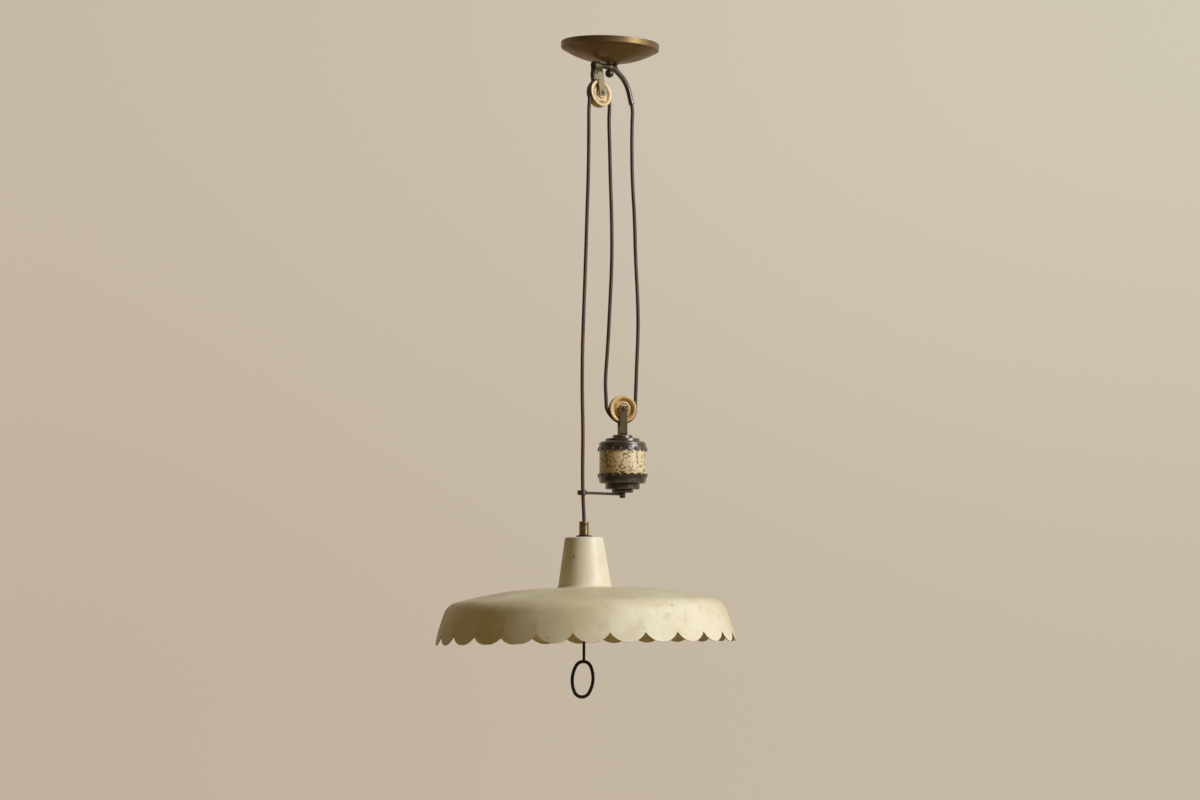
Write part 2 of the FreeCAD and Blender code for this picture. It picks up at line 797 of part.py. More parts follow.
def weight_fork():
    """A strap bent to a U that stands on the weight and carries the axle."""
    foot = boss_top + fork_thick / 2
    top = weight_axle_z + fork_end
    points = [
        Vector(0, -leg_mid, top),
        Vector(0, -leg_mid, foot),
        Vector(0, leg_mid, foot),
        Vector(0, leg_mid, top),
    ]
    wire, _ = route_wire(points, [weight_fork_bend, weight_fork_bend])
    body = strap_along(wire, fork_thick, fork_width - 0.6, Vector(1, 0, 0))
    pin = cylinder(axle_r + running_gap, 40, Vector(0, -20, weight_axle_z), Vector(0, 1, 0))
    body = body.cut(pin)
    body = body.cut(cylinder(weight_rod_r + slip_gap, 10, Vector(0, 0, boss_top - 5)))
    return one(placed(body, weight_frame))


export(weight_fork(), "weight_fork")
export(placed(axle_pin, weight_pulley_frame), "weight_axle")


def guide_arm():
    """Rod from under the weight to an eye round the lamp's flex, in one brazed piece."""
    level = base_boss_low - arm_hub_h / 2
    hub_at = Vector(weight_x, weight_y, arm_hub_low)
    eye_at = Vector(guide_eye_x, guide_eye_y, level)
    hub_mid = Vector(weight_x, weight_y, level)
    reach = eye_at - hub_mid
    rod = cylinder(guide_rod_r, reach.Length, hub_mid, reach)
    eye_low = eye_at - Vector(0, 0, guide_eye_h / 2)
    eye = cylinder(guide_eye_r, guide_eye_h, eye_low)
    eye = eye.makeChamfer(0.5, [e for e in eye.Edges if e.Curve.TypeId.endswith("Circle")])
    body = rod.fuse([cylinder(arm_hub_r, arm_hub_h, hub_at), eye])
    body = body.cut(cylinder(guide_eye_bore_r, guide_eye_h + 2, eye_low - Vector(0, 0, 1)))
    body = body.cut(cylinder(weight_rod_r + slip_gap, arm_hub_h + 2, hub_at - Vector(0, 0, 1)))
    return one(body.removeSplitter())


export(guide_arm(), "guide_arm")
nut_low = arm_hub_low - weight_nut_h
weight_nut = turned([
    (0, nut_low),
    (arm_hub_r - 1.6, nut_low),
    ("arc", (arm_hub_r - 0.5, nut_low + 0.5), (arm_hub_r, nut_low + 1.6)),
    (arm_hub_r, arm_hub_low),
    (weight_rod_r + running_gap, arm_hub_low),
    (weight_rod_r + running_gap, weight_rod_low - 0.2),
    (0, weight_rod_low - 0.2),
])
export(placed(weight_nut, weight_frame), "weight_nut")


# --- lamp head: grip, washer, pipe and nut -----------------------------------------------------
grip_low = grip_top - grip_h
shade_top = grip_low - grip_washer_h
inside_top = shade_top - shade_wall


def cord_grip():
    """Ribbed brass grip that clamps the flex, screwed on the top of the pipe."""
    outline = [(cord_r + cord_hole_gap, grip_low + grip_socket), (cord_r + cord_hole_gap, grip_top)]
    outline.append((grip_r - 0.6, grip_top))
    pitch = (grip_h - 3.0) / grip_grooves
    z = grip_top - 0.6
    outline.append((grip_r, z))
    z = grip_top - 1.5
    for i in range(grip_grooves):
        outline.append((grip_r, z))
        outline.append((grip_r - grip_groove_depth, z - pitch * 0.3))
        outline.append((grip_r - grip_groove_depth, z - pitch * 0.5))
        outline.append((grip_r, z - pitch * 0.8))
        z -= pitch
    outline.append((grip_r, grip_low + 0.5))
    outline.append((grip_r - 0.5, grip_low))
    outline.append((pipe_r + running_gap, grip_low))
    outline.append((pipe_r + running_gap, grip_low + grip_socket))
    return placed(turned(outline), lamp_frame)


export(cord_grip(), "cord_grip")
washer = ring(grip_washer_r, pipe_r + slip_gap, grip_washer_h, Vector(0, 0, shade_top))
export(placed(one(washer), lamp_frame), "grip_washer")
pipe_top = grip_low + grip_socket - 0.2
cluster_top = shade_top - pipe_drop
pipe_low = cluster_top - 8.0
centre_pipe = ring(pipe_r, pipe_bore_r, pipe_top - pipe_low, Vector(0, 0, pipe_low))
export(placed(one(centre_pipe), lamp_frame), "centre_pipe")
lock_nut = nut(lock_nut_af, lock_nut_h, inside_top - lock_nut_h, pipe_r)
export(placed(lock_nut, lamp_frame), "lock_nut")


# --- shade -------------------------------------------------------------------------------------
neck_lean = math.atan2(neck_foot_r - neck_top_r, neck_h)
crown_z = shade_top - neck_h - neck_fillet


def neck_line(z):
    """Radius of the neck's cone at height z."""
    return neck_top_r + (shade_top - z) * math.tan(neck_lean)


def on_arc(centre, radius, degrees):
    """A point of a round stretch of the outline, degrees counted from straight up, outward."""
    angle = math.radians(degrees)
    return (centre[0] + radius * math.sin(angle), centre[1] + radius * math.cos(angle))


fillet_z = crown_z + neck_fillet
fillet_centre = (neck_line(fillet_z) + neck_fillet / math.cos(neck_lean), fillet_z)
crown_centre = (fillet_centre[0], crown_z - crown_r)
crown_edge = on_arc(crown_centre, crown_r, crown_angle)
bend_centre = on_arc(crown_edge, -shoulder_bend_r, crown_angle)
bend_edge = on_arc(bend_centre, shoulder_bend_r, shoulder_angle)
skirt_centre = on_arc(bend_edge, -skirt_bend_r, shoulder_angle)
rim = on_arc(skirt_centre, skirt_bend_r, skirt_angle)


def shade_line(offset):
    """One side of the shade, from the neck's flat top to the rim, moved inward by offset."""
    lean = math.degrees(neck_lean)
    corner_z = shade_top - neck_corner_r
    corner_centre = (neck_line(corner_z) - neck_corner_r / math.cos(neck_lean), corner_z)
    corner = neck_corner_r - offset
    fillet = neck_fillet + offset
    return [
        on_arc(corner_centre, corner, 0),
        ("arc", on_arc(corner_centre, corner, 45), on_arc(corner_centre, corner, 90 - lean)),
        on_arc(fillet_centre, fillet, -90 - lean),
        ("arc", on_arc(fillet_centre, fillet, -135), on_arc(fillet_centre, fillet, -180)),
        ("arc", on_arc(crown_centre, crown_r - offset, crown_angle / 2),
         on_arc(crown_centre, crown_r - offset, crown_angle)),
        ("arc", on_arc(bend_centre, shoulder_bend_r - offset, (crown_angle + shoulder_angle) / 2),
         on_arc(bend_centre, shoulder_bend_r - offset, shoulder_angle)),
        ("arc", on_arc(skirt_centre, skirt_bend_r - offset, (shoulder_angle + skirt_angle) / 2),
         on_arc(skirt_centre, skirt_bend_r - offset, skirt_angle)),
    ]


def backwards(outline):
    """The same line from its last point to its first."""
    points = []
    for item in outline:
        points.append(item[2] if item[0] == "arc" else item)
    result = [points[-1]]
    for i in range(len(outline) - 1, 0, -1):
        if outline[i][0] == "arc":
            result.append(("arc", outline[i][1], points[i - 1]))
        else:
            result.append(points[i - 1])
    return result


def shade():
    hole_r = pipe_r + slip_gap
    outline = [(hole_r, shade_top)] + shade_line(0.0)
    outline += backwards(shade_line(shade_wall)) + [(hole_r, inside_top)]
    body = turned(outline)
    cutters = scallop_cutter(rim[0] + 0.4, 360.0 / scallops, scallop_depth, rim[1], False,
                             scallops, scallop_turn)
    return placed(scalloped(body, cutters), lamp_frame)


export(shade(), "shade")
print("shade rim radius %.1f at z %.1f" % rim)

# --- cluster, holders and bulbs ----------------------------------------------------------------
cluster_low = cluster_top - cluster_h
cluster_mid = cluster_top - cluster_h / 2
cavity_r = cluster_r - cluster_wall


def cluster_body():
    """Hollow turned body that hangs on the pipe and carries the holders."""
    outline = [
        (pipe_r + running_gap, cluster_top),
        (cluster_r - cluster_corner, cluster_top),
        ("arc", (cluster_r - cluster_corner * 0.293, cluster_top - cluster_corner * 0.293),
         (cluster_r, cluster_top - cluster_corner)),
        (cluster_r, cluster_low),
        (cavity_r, cluster_low),
        (cavity_r, cluster_top - cluster_roof),
        (pipe_r + running_gap, cluster_top - cluster_roof),
    ]
    body = turned(outline)
    for i in range(holders):
        hole = cylinder(holder_neck_r + running_gap, cluster_r + 6, Vector(0, 0, 6))
        body = body.cut(placed(hole, holder_frame(i)))
    return one(placed(body, lamp_frame))


def holder_frame(i):
    """Frame of one holder, from the lamp's axis, +Z outward along the bulb."""
    turn = Rotation(UP, holder_turn + i * 360.0 / holders)
    tilt = Rotation(Vector(0, 1, 0), 90.0 + holder_tilt)
    return Placement(Vector(0, 0, cluster_mid), turn.multiply(tilt))


export(cluster_body(), "cluster_body")
lid = turned([
    (pull_rod_r + running_gap, cluster_low - lid_flange),
    (cluster_r - 1.5, cluster_low - lid_flange),
    (cluster_r, cluster_low - lid_flange + 1.0),
    (cluster_r, cluster_low),
    (cavity_r - slip_gap, cluster_low),
    (cavity_r - slip_gap, cluster_low + lid_spigot),
    (lid_boss_r, cluster_low + lid_spigot),
    (lid_boss_r, cluster_low + lid_boss_h),
    (pull_rod_r + running_gap, cluster_low + lid_boss_h),
])
export(placed(lid, lamp_frame), "cluster_lid")
rod_nut = nut(stem_nut_af, stem_nut_h, cluster_low + lid_boss_h, pull_rod_r)
export(placed(rod_nut, lamp_frame), "pull_rod_nut")
rod_top = cluster_low + lid_boss_h + stem_nut_h + stem_nut_clear
pull_rod_end = cluster_low - pull_rod_drop

stub_start = cavity_r - 1.0
cup_start = cluster_r + holder_neck_h
cup_end = cup_start + holder_h
insert_r = holder_r - holder_wall - running_gap
insert_start = cup_start + holder_wall
insert_end = cup_end + 1.5
cap_start = insert_start + insert_floor + 0.5
cap_end = cap_start + screw_cap_h
stub_bore_r = holder_neck_r - 2.0


def holder_cup():
    """Brass stub and cup in one turned piece."""
    return turned([
        (stub_bore_r, stub_start),
        (holder_neck_r, stub_start),
        (holder_neck_r, cup_start - 1.5),
        ("arc", (holder_neck_r + 0.5, cup_start - 0.4), (holder_neck_r + 1.5, cup_start)),
        (holder_r - 3.0, cup_start),
        ("arc", (holder_r - 0.88, cup_start + 0.88), (holder_r, cup_start + 3.0)),
        (holder_r, cup_end),
        (holder_r - holder_wall, cup_end),
        (holder_r - holder_wall, cup_start + 3.0),
        (holder_r - 3.0 - holder_wall, cup_start + holder_wall),
        (stub_bore_r, cup_start + holder_wall),
    ])


def holder_insert():
    """Porcelain liner with a floor; the bulb's cap screws into it."""
    bore = screw_cap_r + slip_gap
    foot_r = holder_r - 3.0 - holder_wall - slip_gap
    return turned([
        (0, insert_start + running_gap),
        (foot_r, insert_start + running_gap),
        (insert_r, insert_start + 3.0),
        (insert_r, insert_end),
        (bore, insert_end),
        (bore, insert_start + insert_floor),
        (0, insert_start + insert_floor),
    ])


def bulb_cap():
    """Hollow screw cap with its centre contact; the thread is drawn as plain."""
    inner_r = screw_cap_r - screw_cap_wall
    return turned([
        (0, cap_start - 0.4),
        (cap_contact_r, cap_start - 0.4),
        (cap_contact_r, cap_start + 0.6),
        (screw_cap_r - 3.0, cap_start + 3.0),
        (screw_cap_r, cap_start + 4.5),
        (screw_cap_r, cap_end),
        (inner_r, cap_end),
        (inner_r, cap_start + screw_cap_base),
        (0, cap_start + screw_cap_base),
    ])


def bulb_glass():
    """Thin glass envelope: a short neck that swells into a globe."""
    globe_at = (0, cap_end + bulb_h - bulb_r)

    def skin(offset):
        """Radius, neck, hollow of the swell and join with the globe, all moved inward by offset."""
        r = bulb_r - offset
        neck = (screw_cap_r - bulb_neck_in - offset, cap_end + bulb_neck_h)
        join = on_arc(globe_at, r, bulb_join_angle)
        hollow = ((neck[0] + join[0]) / 2 - bulb_hollow, (neck[1] + join[1]) / 2)
        return r, neck, hollow, join

    r, neck, hollow, join = skin(0.0)
    r_in, neck_in, hollow_in, join_in = skin(bulb_wall)
    return turned([
        (0, cap_end),
        (neck[0], cap_end),
        neck,
        ("arc", hollow, join),
        ("arc", on_arc(globe_at, r, 90), on_arc(globe_at, r, 45)),
        ("arc", on_arc(globe_at, r, 20), (0, globe_at[1] + r)),
        (0, globe_at[1] + r_in),
        ("arc", on_arc(globe_at, r_in, 20), on_arc(globe_at, r_in, 45)),
        ("arc", on_arc(globe_at, r_in, 90), join_in),
        ("arc", hollow_in, neck_in),
        (neck_in[0], cap_end + bulb_wall),
        (0, cap_end + bulb_wall),
    ])


for i in range(holders):
    frame = lamp_frame.multiply(holder_frame(i))
    tag = "_%d" % (i + 1)
    export(placed(holder_cup(), frame), "bulb_holder" + tag)
    export(placed(holder_insert(), frame), "holder_insert" + tag)
    export(placed(bulb_cap(), frame), "bulb_cap" + tag)
    export(placed(bulb_glass(), frame), "bulb_glass" + tag)


# --- pull rod and ring -------------------------------------------------------------------------
def pull_ring():
    """Oval of round wire, built of four arcs, brazed to the rod with a slight lean."""
    half_w = ring_wide / 2 - ring_wire_r
    half_h = ring_tall / 2 - ring_wire_r
    end_r = half_w * 0.78
    drop = half_h - end_r
    side_r = (half_w ** 2 + drop ** 2 - end_r ** 2) / (2 * (half_w - end_r))
    side_c = half_w - side_r
    join_angle = math.atan2(drop, -side_c)
    join = Vector(end_r * math.cos(join_angle), 0, drop + end_r * math.sin(join_angle))
    top = Vector(0, 0, half_h)
    bend = (math.pi / 2 + join_angle) / 2
    corner = Vector(end_r * math.cos(bend), 0, drop + end_r * math.sin(bend))

    def flip(p, sx, sz):
        return Vector(p.x * sx, 0, p.z * sz)

    right = Vector(half_w, 0, 0)
    left = Vector(-half_w, 0, 0)
    bottom = Vector(0, 0, -half_h)
    edges = [
        arc(top, corner, join),
        arc(join, right, flip(join, 1, -1)),
        arc(flip(join, 1, -1), flip(corner, 1, -1), bottom),
        arc(bottom, flip(corner, -1, -1), flip(join, -1, -1)),
        arc(flip(join, -1, -1), left, flip(join, -1, 1)),
        arc(flip(join, -1, 1), flip(corner, -1, 1), top),
    ]
    section = Part.Wire([Part.Circle(top, Vector(1, 0, 0), ring_wire_r).toShape()])
    body = Part.Wire(edges).makePipeShell([section], True, False)
    lean = Rotation(Vector(0, 1, 0), ring_lean)
    hang = Placement(Vector(0, 0, pull_rod_end + ring_wire_r), lean)
    drop_to_centre = Placement(Vector(0, 0, -ring_tall / 2), Rotation())
    return placed(one(body), lamp_frame.multiply(hang).multiply(drop_to_centre))


pull_ring_solid = pull_ring()
export(pull_ring_solid, "pull_ring")
pull_rod = placed(cylinder(pull_rod_r, rod_top - pull_rod_end, Vector(0, 0, pull_rod_end)), lamp_frame)
pull_rod = one(pull_rod.cut(pull_ring_solid))
export(pull_rod, "pull_rod")

# --- free flex ---------------------------------------------------------------------------------
# Each route is chosen by hand from how the flex hangs, apart from its turns round the pulleys.
wrap_corner_r = cord_run_r / math.cos(math.radians(22.5))
wrap_reach = cord_run_r * math.tan(math.radians(22.5))


def wheel_point(frame, radius, degrees):
    """A point in a pulley's plane, degrees counted from its +X towards +Z."""
    angle = math.radians(degrees)
    return frame.multVec(Vector(radius * math.cos(angle), 0, radius * math.sin(angle)))


def wrap(frame, angles):
    """Route points round a pulley, each with the pulley's own radius as its bend."""
    return [(wheel_point(frame, wrap_corner_r, degrees), cord_run_r) for degrees in angles]


tube_end = tube_points[-1]
mouth_way = tube_end - tube_points[-2]
mouth_way.normalize()
loop_route = [(point, None) for point in (
    tube_end,
    tube_end + mouth_way * 9.0,
    Vector(35.2, 31.2, -116.0),
    Vector(34.6, 30.0, -152.0),
    Vector(35.4, 28.6, -212.0),
    Vector(39.0, 27.0, -268.0),
    Vector(40.2, 25.2, -330.0),
    Vector(43.8, 23.4, -396.0),
    Vector(44.2, 21.8, -446.0),
    Vector(42.0, 20.0, -494.0),
    Vector(40.9, 18.8, weight_axle_z + 38.0),
    Vector(40.1, 17.9, weight_axle_z + 18.0),
    weight_pulley_frame.multVec(Vector(cord_run_r, 0, wrap_reach)),
)]
loop_route += wrap(weight_pulley_frame, (-22.5, -67.5, -112.5))
loop_route += [(point, None) for point in (
    weight_pulley_frame.multVec(Vector(-25.2, 0, -3.4)),
    Vector(-5.2, 7.0, weight_axle_z + 14.0),
    Vector(-6.6, 6.2, weight_axle_z + 44.0),
    Vector(-2.6, 4.6, -470.0),
    Vector(0.6, 2.2, -408.0),
    Vector(3.8, -0.4, -340.0),
    Vector(3.7, -3.0, -276.0),
    Vector(1.4, -5.6, -210.0),
    Vector(0.2, -7.8, -156.0),
    Vector(-0.9, -9.2, -122.0),
    ceiling_pulley_frame.multVec(Vector(cord_run_r, 0, -wrap_reach)) + Vector(-0.15, 0.1, -12.0),
    ceiling_pulley_frame.multVec(Vector(cord_run_r, 0, -wrap_reach)),
)]
loop_route += wrap(ceiling_pulley_frame, (22.5, 67.5, 112.5, 157.5))
loop_route.append((wheel_point(ceiling_pulley_frame, cord_run_r, 180), None))

lamp_route = [(point, None) for point in (
    wheel_point(ceiling_pulley_frame, cord_run_r, 180),
    ceiling_pulley_frame.multVec(Vector(-cord_run_r, 0, -wrap_reach)),
    Vector(-31.6, -38.4, -106.0),
    Vector(-31.5, -38.6, -138.0),
    Vector(-32.0, -38.9, -198.0),
    Vector(-34.2, -39.6, -268.0),
    Vector(-36.4, -40.6, -340.0),
    Vector(-39.0, -41.6, -412.0),
    Vector(-41.4, -42.6, -482.0),
    Vector(-41.5, -43.3, -548.0),
    Vector(-40.2, -43.8, -604.0),
    Vector(-41.0, -44.2, -654.0),
    Vector(-40.7, -44.2, -690.0),
    Vector(lamp_x - 0.8, lamp_y, grip_top + 24.4),
    Vector(lamp_x, lamp_y, grip_top + 7.4),
    Vector(lamp_x, lamp_y, grip_top - 7.0),
)]
export(flex("cord_loop", loop_route), "cord_loop")
export(flex("lamp_cord", lamp_route), "lamp_cord")
print(len(exported), "nodes")
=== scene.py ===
# %% [markdown]
# # Rise and fall pendant lamp
# A ceiling plate carries an arm tube and a pulley. The flex leaves the tube, goes down round the
# pulley of a counterweight, up over the ceiling pulley and down to a wide scalloped shade. The
# solids come ready made and fixed; this script gives them their finishes and models again, with
# more care, the pieces whose look depends on it. Everything is in metres, with the origin on the
# ceiling, +Z up and the viewer in front at -Y.

# %% Load the frame
import bpy
import math
from mathutils import Matrix, Vector, noise


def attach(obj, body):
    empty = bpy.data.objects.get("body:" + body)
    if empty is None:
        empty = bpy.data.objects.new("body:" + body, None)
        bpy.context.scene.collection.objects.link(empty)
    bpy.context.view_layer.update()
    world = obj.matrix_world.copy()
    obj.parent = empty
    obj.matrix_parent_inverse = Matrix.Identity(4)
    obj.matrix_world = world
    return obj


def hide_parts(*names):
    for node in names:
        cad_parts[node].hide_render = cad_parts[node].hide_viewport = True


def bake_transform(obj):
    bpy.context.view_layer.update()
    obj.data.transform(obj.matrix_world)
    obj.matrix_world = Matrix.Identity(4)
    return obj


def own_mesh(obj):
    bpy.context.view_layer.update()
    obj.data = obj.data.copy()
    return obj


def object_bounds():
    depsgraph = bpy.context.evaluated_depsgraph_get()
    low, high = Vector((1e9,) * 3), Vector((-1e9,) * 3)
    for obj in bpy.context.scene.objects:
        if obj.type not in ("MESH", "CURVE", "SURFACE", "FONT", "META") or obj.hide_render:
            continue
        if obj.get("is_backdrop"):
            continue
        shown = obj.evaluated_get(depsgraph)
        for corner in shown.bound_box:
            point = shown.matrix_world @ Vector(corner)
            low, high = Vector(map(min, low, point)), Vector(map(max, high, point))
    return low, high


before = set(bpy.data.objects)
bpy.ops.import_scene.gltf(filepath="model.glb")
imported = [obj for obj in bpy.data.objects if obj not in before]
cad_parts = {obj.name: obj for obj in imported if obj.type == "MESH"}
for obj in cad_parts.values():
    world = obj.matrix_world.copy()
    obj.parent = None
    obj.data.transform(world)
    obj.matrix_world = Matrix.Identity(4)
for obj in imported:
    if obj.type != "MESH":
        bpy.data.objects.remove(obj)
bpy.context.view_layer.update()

MM = 0.001

# %% [markdown]
# ## Camera
# The lamp is seen from far off with a long lens, a little from below, so that the plate's
# underside and the tips of the scallops behind both show. The height of the eye and its upward
# tilt come from those two ellipses, and no shift is needed.

# %% Camera
eye_place = (-14.5 * MM, -5484 * MM, -931.6 * MM)
eye_tilt = math.radians(3.972)
bpy.ops.object.camera_add(location=eye_place, rotation=(math.radians(90) + eye_tilt, 0, 0))
camera = bpy.context.object
camera.data.lens = 107.74
camera.data.sensor_width = 36.0
camera.data.clip_end = 60.0
bpy.context.scene.camera = camera
print("camera: lens %.1f mm, %.2f m away" % (camera.data.lens, -eye_place[1]))

# %% [markdown]
# ## Where the pulleys and the lamp stand
# The same few sizes as in the solids: the plane that the ceiling hardware stands in is turned, its
# fork leans, and the weight hangs a little to the right and behind. Each pulley gets a matrix whose
# Y is the axle.

# %% Frames
plane_turn = math.radians(42.0)
fork_lean = math.radians(9.0)
weight_turn = math.radians(13.0)
fork_place = (-27.7 * MM, 0, -36.5 * MM)
fork_drop = 46.0 * MM
weight_place = (20.0 * MM, 13.0 * MM, 0)
weight_wheel_z = -564.0 * MM
ceiling_plane = Matrix.Rotation(plane_turn, 4, "Z")
fork_frame = ceiling_plane @ Matrix.Translation(fork_place) @ Matrix.Rotation(-fork_lean, 4, "X")
ceiling_wheel = fork_frame @ Matrix.Translation((0, 0, -fork_drop))
weight_frame = Matrix.Translation(weight_place) @ Matrix.Rotation(weight_turn, 4, "Z")
weight_wheel = weight_frame @ Matrix.Translation((0, 0, weight_wheel_z))
lamp_axis = Vector((-38.8 * MM, -44.0 * MM, 0))
print("ceiling pulley at", [round(v / MM, 1) for v in ceiling_wheel.translation])

# %% [markdown]
# ## The flex
# One length of flex runs from the arm tube to the lamp. Its line is a smooth spline whose control
# points are the route of the solid tube, which was chosen from how the flex hangs: nearly
# straight, with the slow waves that years round a pulley leave in it. The points round each wheel
# stand outside its rim, so that the spline runs in the groove.

# %% The routes of the flex
flex_r = 2.8 * MM
run_r = 20.3 * MM
grip_top = -738.4 * MM
corner_r = run_r / math.cos(math.radians(22.5))
reach = run_r * math.tan(math.radians(22.5))


def at(x, y, z):
    """A point given in millimetres."""
    return Vector((x * MM, y * MM, z * MM))


def on_wheel(wheel, radius, degrees):
    """A point in a pulley's plane, degrees counted from its +X towards +Z."""
    angle = math.radians(degrees)
    return wheel @ Vector((radius * math.cos(angle), 0, radius * math.sin(angle)))


def in_plane(s, z):
    """A point of the ceiling hardware's upright plane, in millimetres."""
    return ceiling_plane @ at(s, 0, z)


arm_turns = ((30.5, -52.9), (39.5, -67.5), (46.2, -90.0))
mouth = in_plane(*arm_turns[2])
mouth_way = (mouth - in_plane(*arm_turns[1])).normalized()
feed_route = [in_plane(*p) for p in ((11.0, -23.0), (11.0, -38.69), *arm_turns)]
loop_route = [mouth, mouth + mouth_way * 9 * MM]
loop_route += [at(*p) for p in (
    (35.2, 31.2, -116), (34.6, 30.0, -152), (35.4, 28.6, -212), (39.0, 27.0, -268),
    (40.2, 25.2, -330), (43.8, 23.4, -396), (44.2, 21.8, -446), (42.0, 20.0, -494),
    (40.9, 18.8, -526), (40.1, 17.9, -546))]
loop_route.append(weight_wheel @ Vector((run_r, 0, reach)))
loop_route += [on_wheel(weight_wheel, corner_r, degrees) for degrees in (-22.5, -67.5, -112.5)]
loop_route.append(weight_wheel @ at(-25.2, 0, -3.4))
loop_route += [at(*p) for p in (
    (-5.2, 7.0, -550), (-6.6, 6.2, -520), (-2.6, 4.6, -470), (0.6, 2.2, -408), (3.8, -0.4, -340),
    (3.7, -3.0, -276), (1.4, -5.6, -210), (0.2, -7.8, -156), (-0.9, -9.2, -122))]
under_wheel = ceiling_wheel @ Vector((run_r, 0, -reach))
loop_route += [under_wheel + at(-0.15, 0.1, -12.0), under_wheel]
loop_route += [on_wheel(ceiling_wheel, corner_r, degrees) for degrees in (22.5, 67.5, 112.5, 157.5)]
loop_route.append(on_wheel(ceiling_wheel, run_r, 180))
lamp_route = [on_wheel(ceiling_wheel, run_r, 180), ceiling_wheel @ Vector((-run_r, 0, -reach))]
lamp_route += [at(*p) for p in (
    (-31.6, -38.4, -106), (-31.5, -38.6, -138), (-32.0, -38.9, -198), (-34.2, -39.6, -268),
    (-36.4, -40.6, -340), (-39.0, -41.6, -412), (-41.4, -42.6, -482), (-41.5, -43.3, -548),
    (-40.2, -43.8, -604), (-41.0, -44.2, -654), (-40.7, -44.2, -690), (-39.6, -44.0, -714),
    (-38.8, -44.0, -731), (-38.8, -44.0, grip_top / MM - 7.0))]
print("route points:", len(feed_route), len(loop_route), len(lamp_route))

# %% [markdown]
# A tube along the spline is made of rings that are carried along without twisting, so that a braid
# can follow it. The UV map holds the way round the tube and the distance along it in metres.


# %% Helpers for the flex
def spline_line(name, route):
    """The points of a smooth spline that has the route's points as its control points."""
    curve = bpy.data.curves.new(name, "CURVE")
    curve.dimensions = "3D"
    curve.resolution_u = 16
    spline = curve.splines.new("NURBS")
    spline.points.add(len(route) - 1)
    for point, place in zip(spline.points, route):
        point.co = (*place, 1.0)
    spline.order_u = 3
    spline.use_endpoint_u = True
    holder = bpy.data.objects.new(name, curve)
    mesh = bpy.data.meshes.new_from_object(holder)
    line = [v.co.copy() for v in mesh.vertices]
    bpy.data.objects.remove(holder)
    bpy.data.curves.remove(curve)
    bpy.data.meshes.remove(mesh)
    return line


def line_length(line):
    return sum((b - a).length for a, b in zip(line, line[1:]))


def tube_along(name, line, radii, sides=16, closed=True):
    """A tube along a line, with its own radius at each point and flat ends if it is closed."""
    forward = (line[1] - line[0]).normalized()
    side = forward.orthogonal().normalized()
    rings, along, distance = [], [], 0.0
    for i, place in enumerate(line):
        before = line[max(i - 1, 0)]
        after = line[min(i + 1, len(line) - 1)]
        way = (after - before).normalized()
        side = (forward.rotation_difference(way) @ side).normalized()
        forward = way
        if i:
            distance += (place - before).length
        other = way.cross(side)
        ring = []
        for k in range(sides):
            angle = 2 * math.pi * k / sides
            ring.append(place + (side * math.cos(angle) + other * math.sin(angle)) * radii[i])
        rings.append(ring)
        along.append(distance)
    points = [p for ring in rings for p in ring]
    faces = []
    turns = []
    for i in range(len(rings) - 1):
        for k in range(sides):
            m = (k + 1) % sides
            faces.append((i * sides + k, i * sides + m, (i + 1) * sides + m, (i + 1) * sides + k))
            turns.append([(k / sides, along[i]), ((k + 1) / sides, along[i]),
                          ((k + 1) / sides, along[i + 1]), (k / sides, along[i + 1])])
    if closed:
        last = (len(rings) - 1) * sides
        faces.append(tuple(range(sides))[::-1])
        turns.append([(0.0, along[0])] * sides)
        faces.append(tuple(range(last, last + sides)))
        turns.append([(0.0, along[-1])] * sides)
    mesh = bpy.data.meshes.new(name)
    mesh.from_pydata(points, [], faces)
    layer = mesh.uv_layers.new(name="along_flex")
    for polygon, corners in zip(mesh.polygons, turns):
        for loop, corner in zip(polygon.loop_indices, corners):
            layer.data[loop].uv = corner
        polygon.use_smooth = len(corners) == 4
    mesh.validate()
    piece = bpy.data.objects.new(name, mesh)
    bpy.context.collection.objects.link(piece)
    return piece


# %% [markdown]
# The lamp moves, so the flex is made in lengths: the feed, the two runs of the loop, the length
# round the weight's wheel, which rides with the weight and reaches a little way up inside each run,
# and the run to the lamp.

# %% Cut the flex into lengths
feed_line = spline_line("feed_line", feed_route)
loop_line = spline_line("loop_line", loop_route)
lamp_line = spline_line("lamp_line", lamp_route)
run_low_z, run_top_z = -546 * MM, -100 * MM
overlap, inner_r = 15 * MM, flex_r * 0.94
lowest = min(range(len(loop_line)), key=lambda i: loop_line[i].z)


def first_below(z):
    """The loop's first point under z on its way down to the weight."""
    return next(i for i, p in enumerate(loop_line) if p.z < z)


def first_above(z):
    """The loop's first point over z on its way up from the weight."""
    return next(i for i in range(lowest, len(loop_line)) if loop_line[i].z > z)


right_end, left_start = first_below(run_low_z), first_above(run_low_z)
wheel_start, wheel_end = first_below(run_low_z + overlap), first_above(run_low_z + overlap)
left_end = first_above(run_top_z)
right_line = loop_line[:right_end + 1]
left_line = loop_line[left_start:left_end + 1]
wheel_line = loop_line[wheel_start:wheel_end + 1]
lamp_whole = loop_line[left_end:] + lamp_line[1:]
wheel_radii = [flex_r if right_end <= i <= left_start else inner_r
               for i in range(wheel_start, wheel_end + 1)]
flex_feed = tube_along("flex_feed", feed_line, [flex_r] * len(feed_line))
flex_right = tube_along("flex_right", right_line, [flex_r] * len(right_line))
flex_left = tube_along("flex_left", left_line, [flex_r] * len(left_line))
flex_wheel = tube_along("flex_wheel", wheel_line, wheel_radii)
flex_lamp = tube_along("flex_lamp", lamp_whole, [flex_r] * len(lamp_whole))
flex_pieces = (flex_feed, flex_right, flex_left, flex_wheel, flex_lamp)
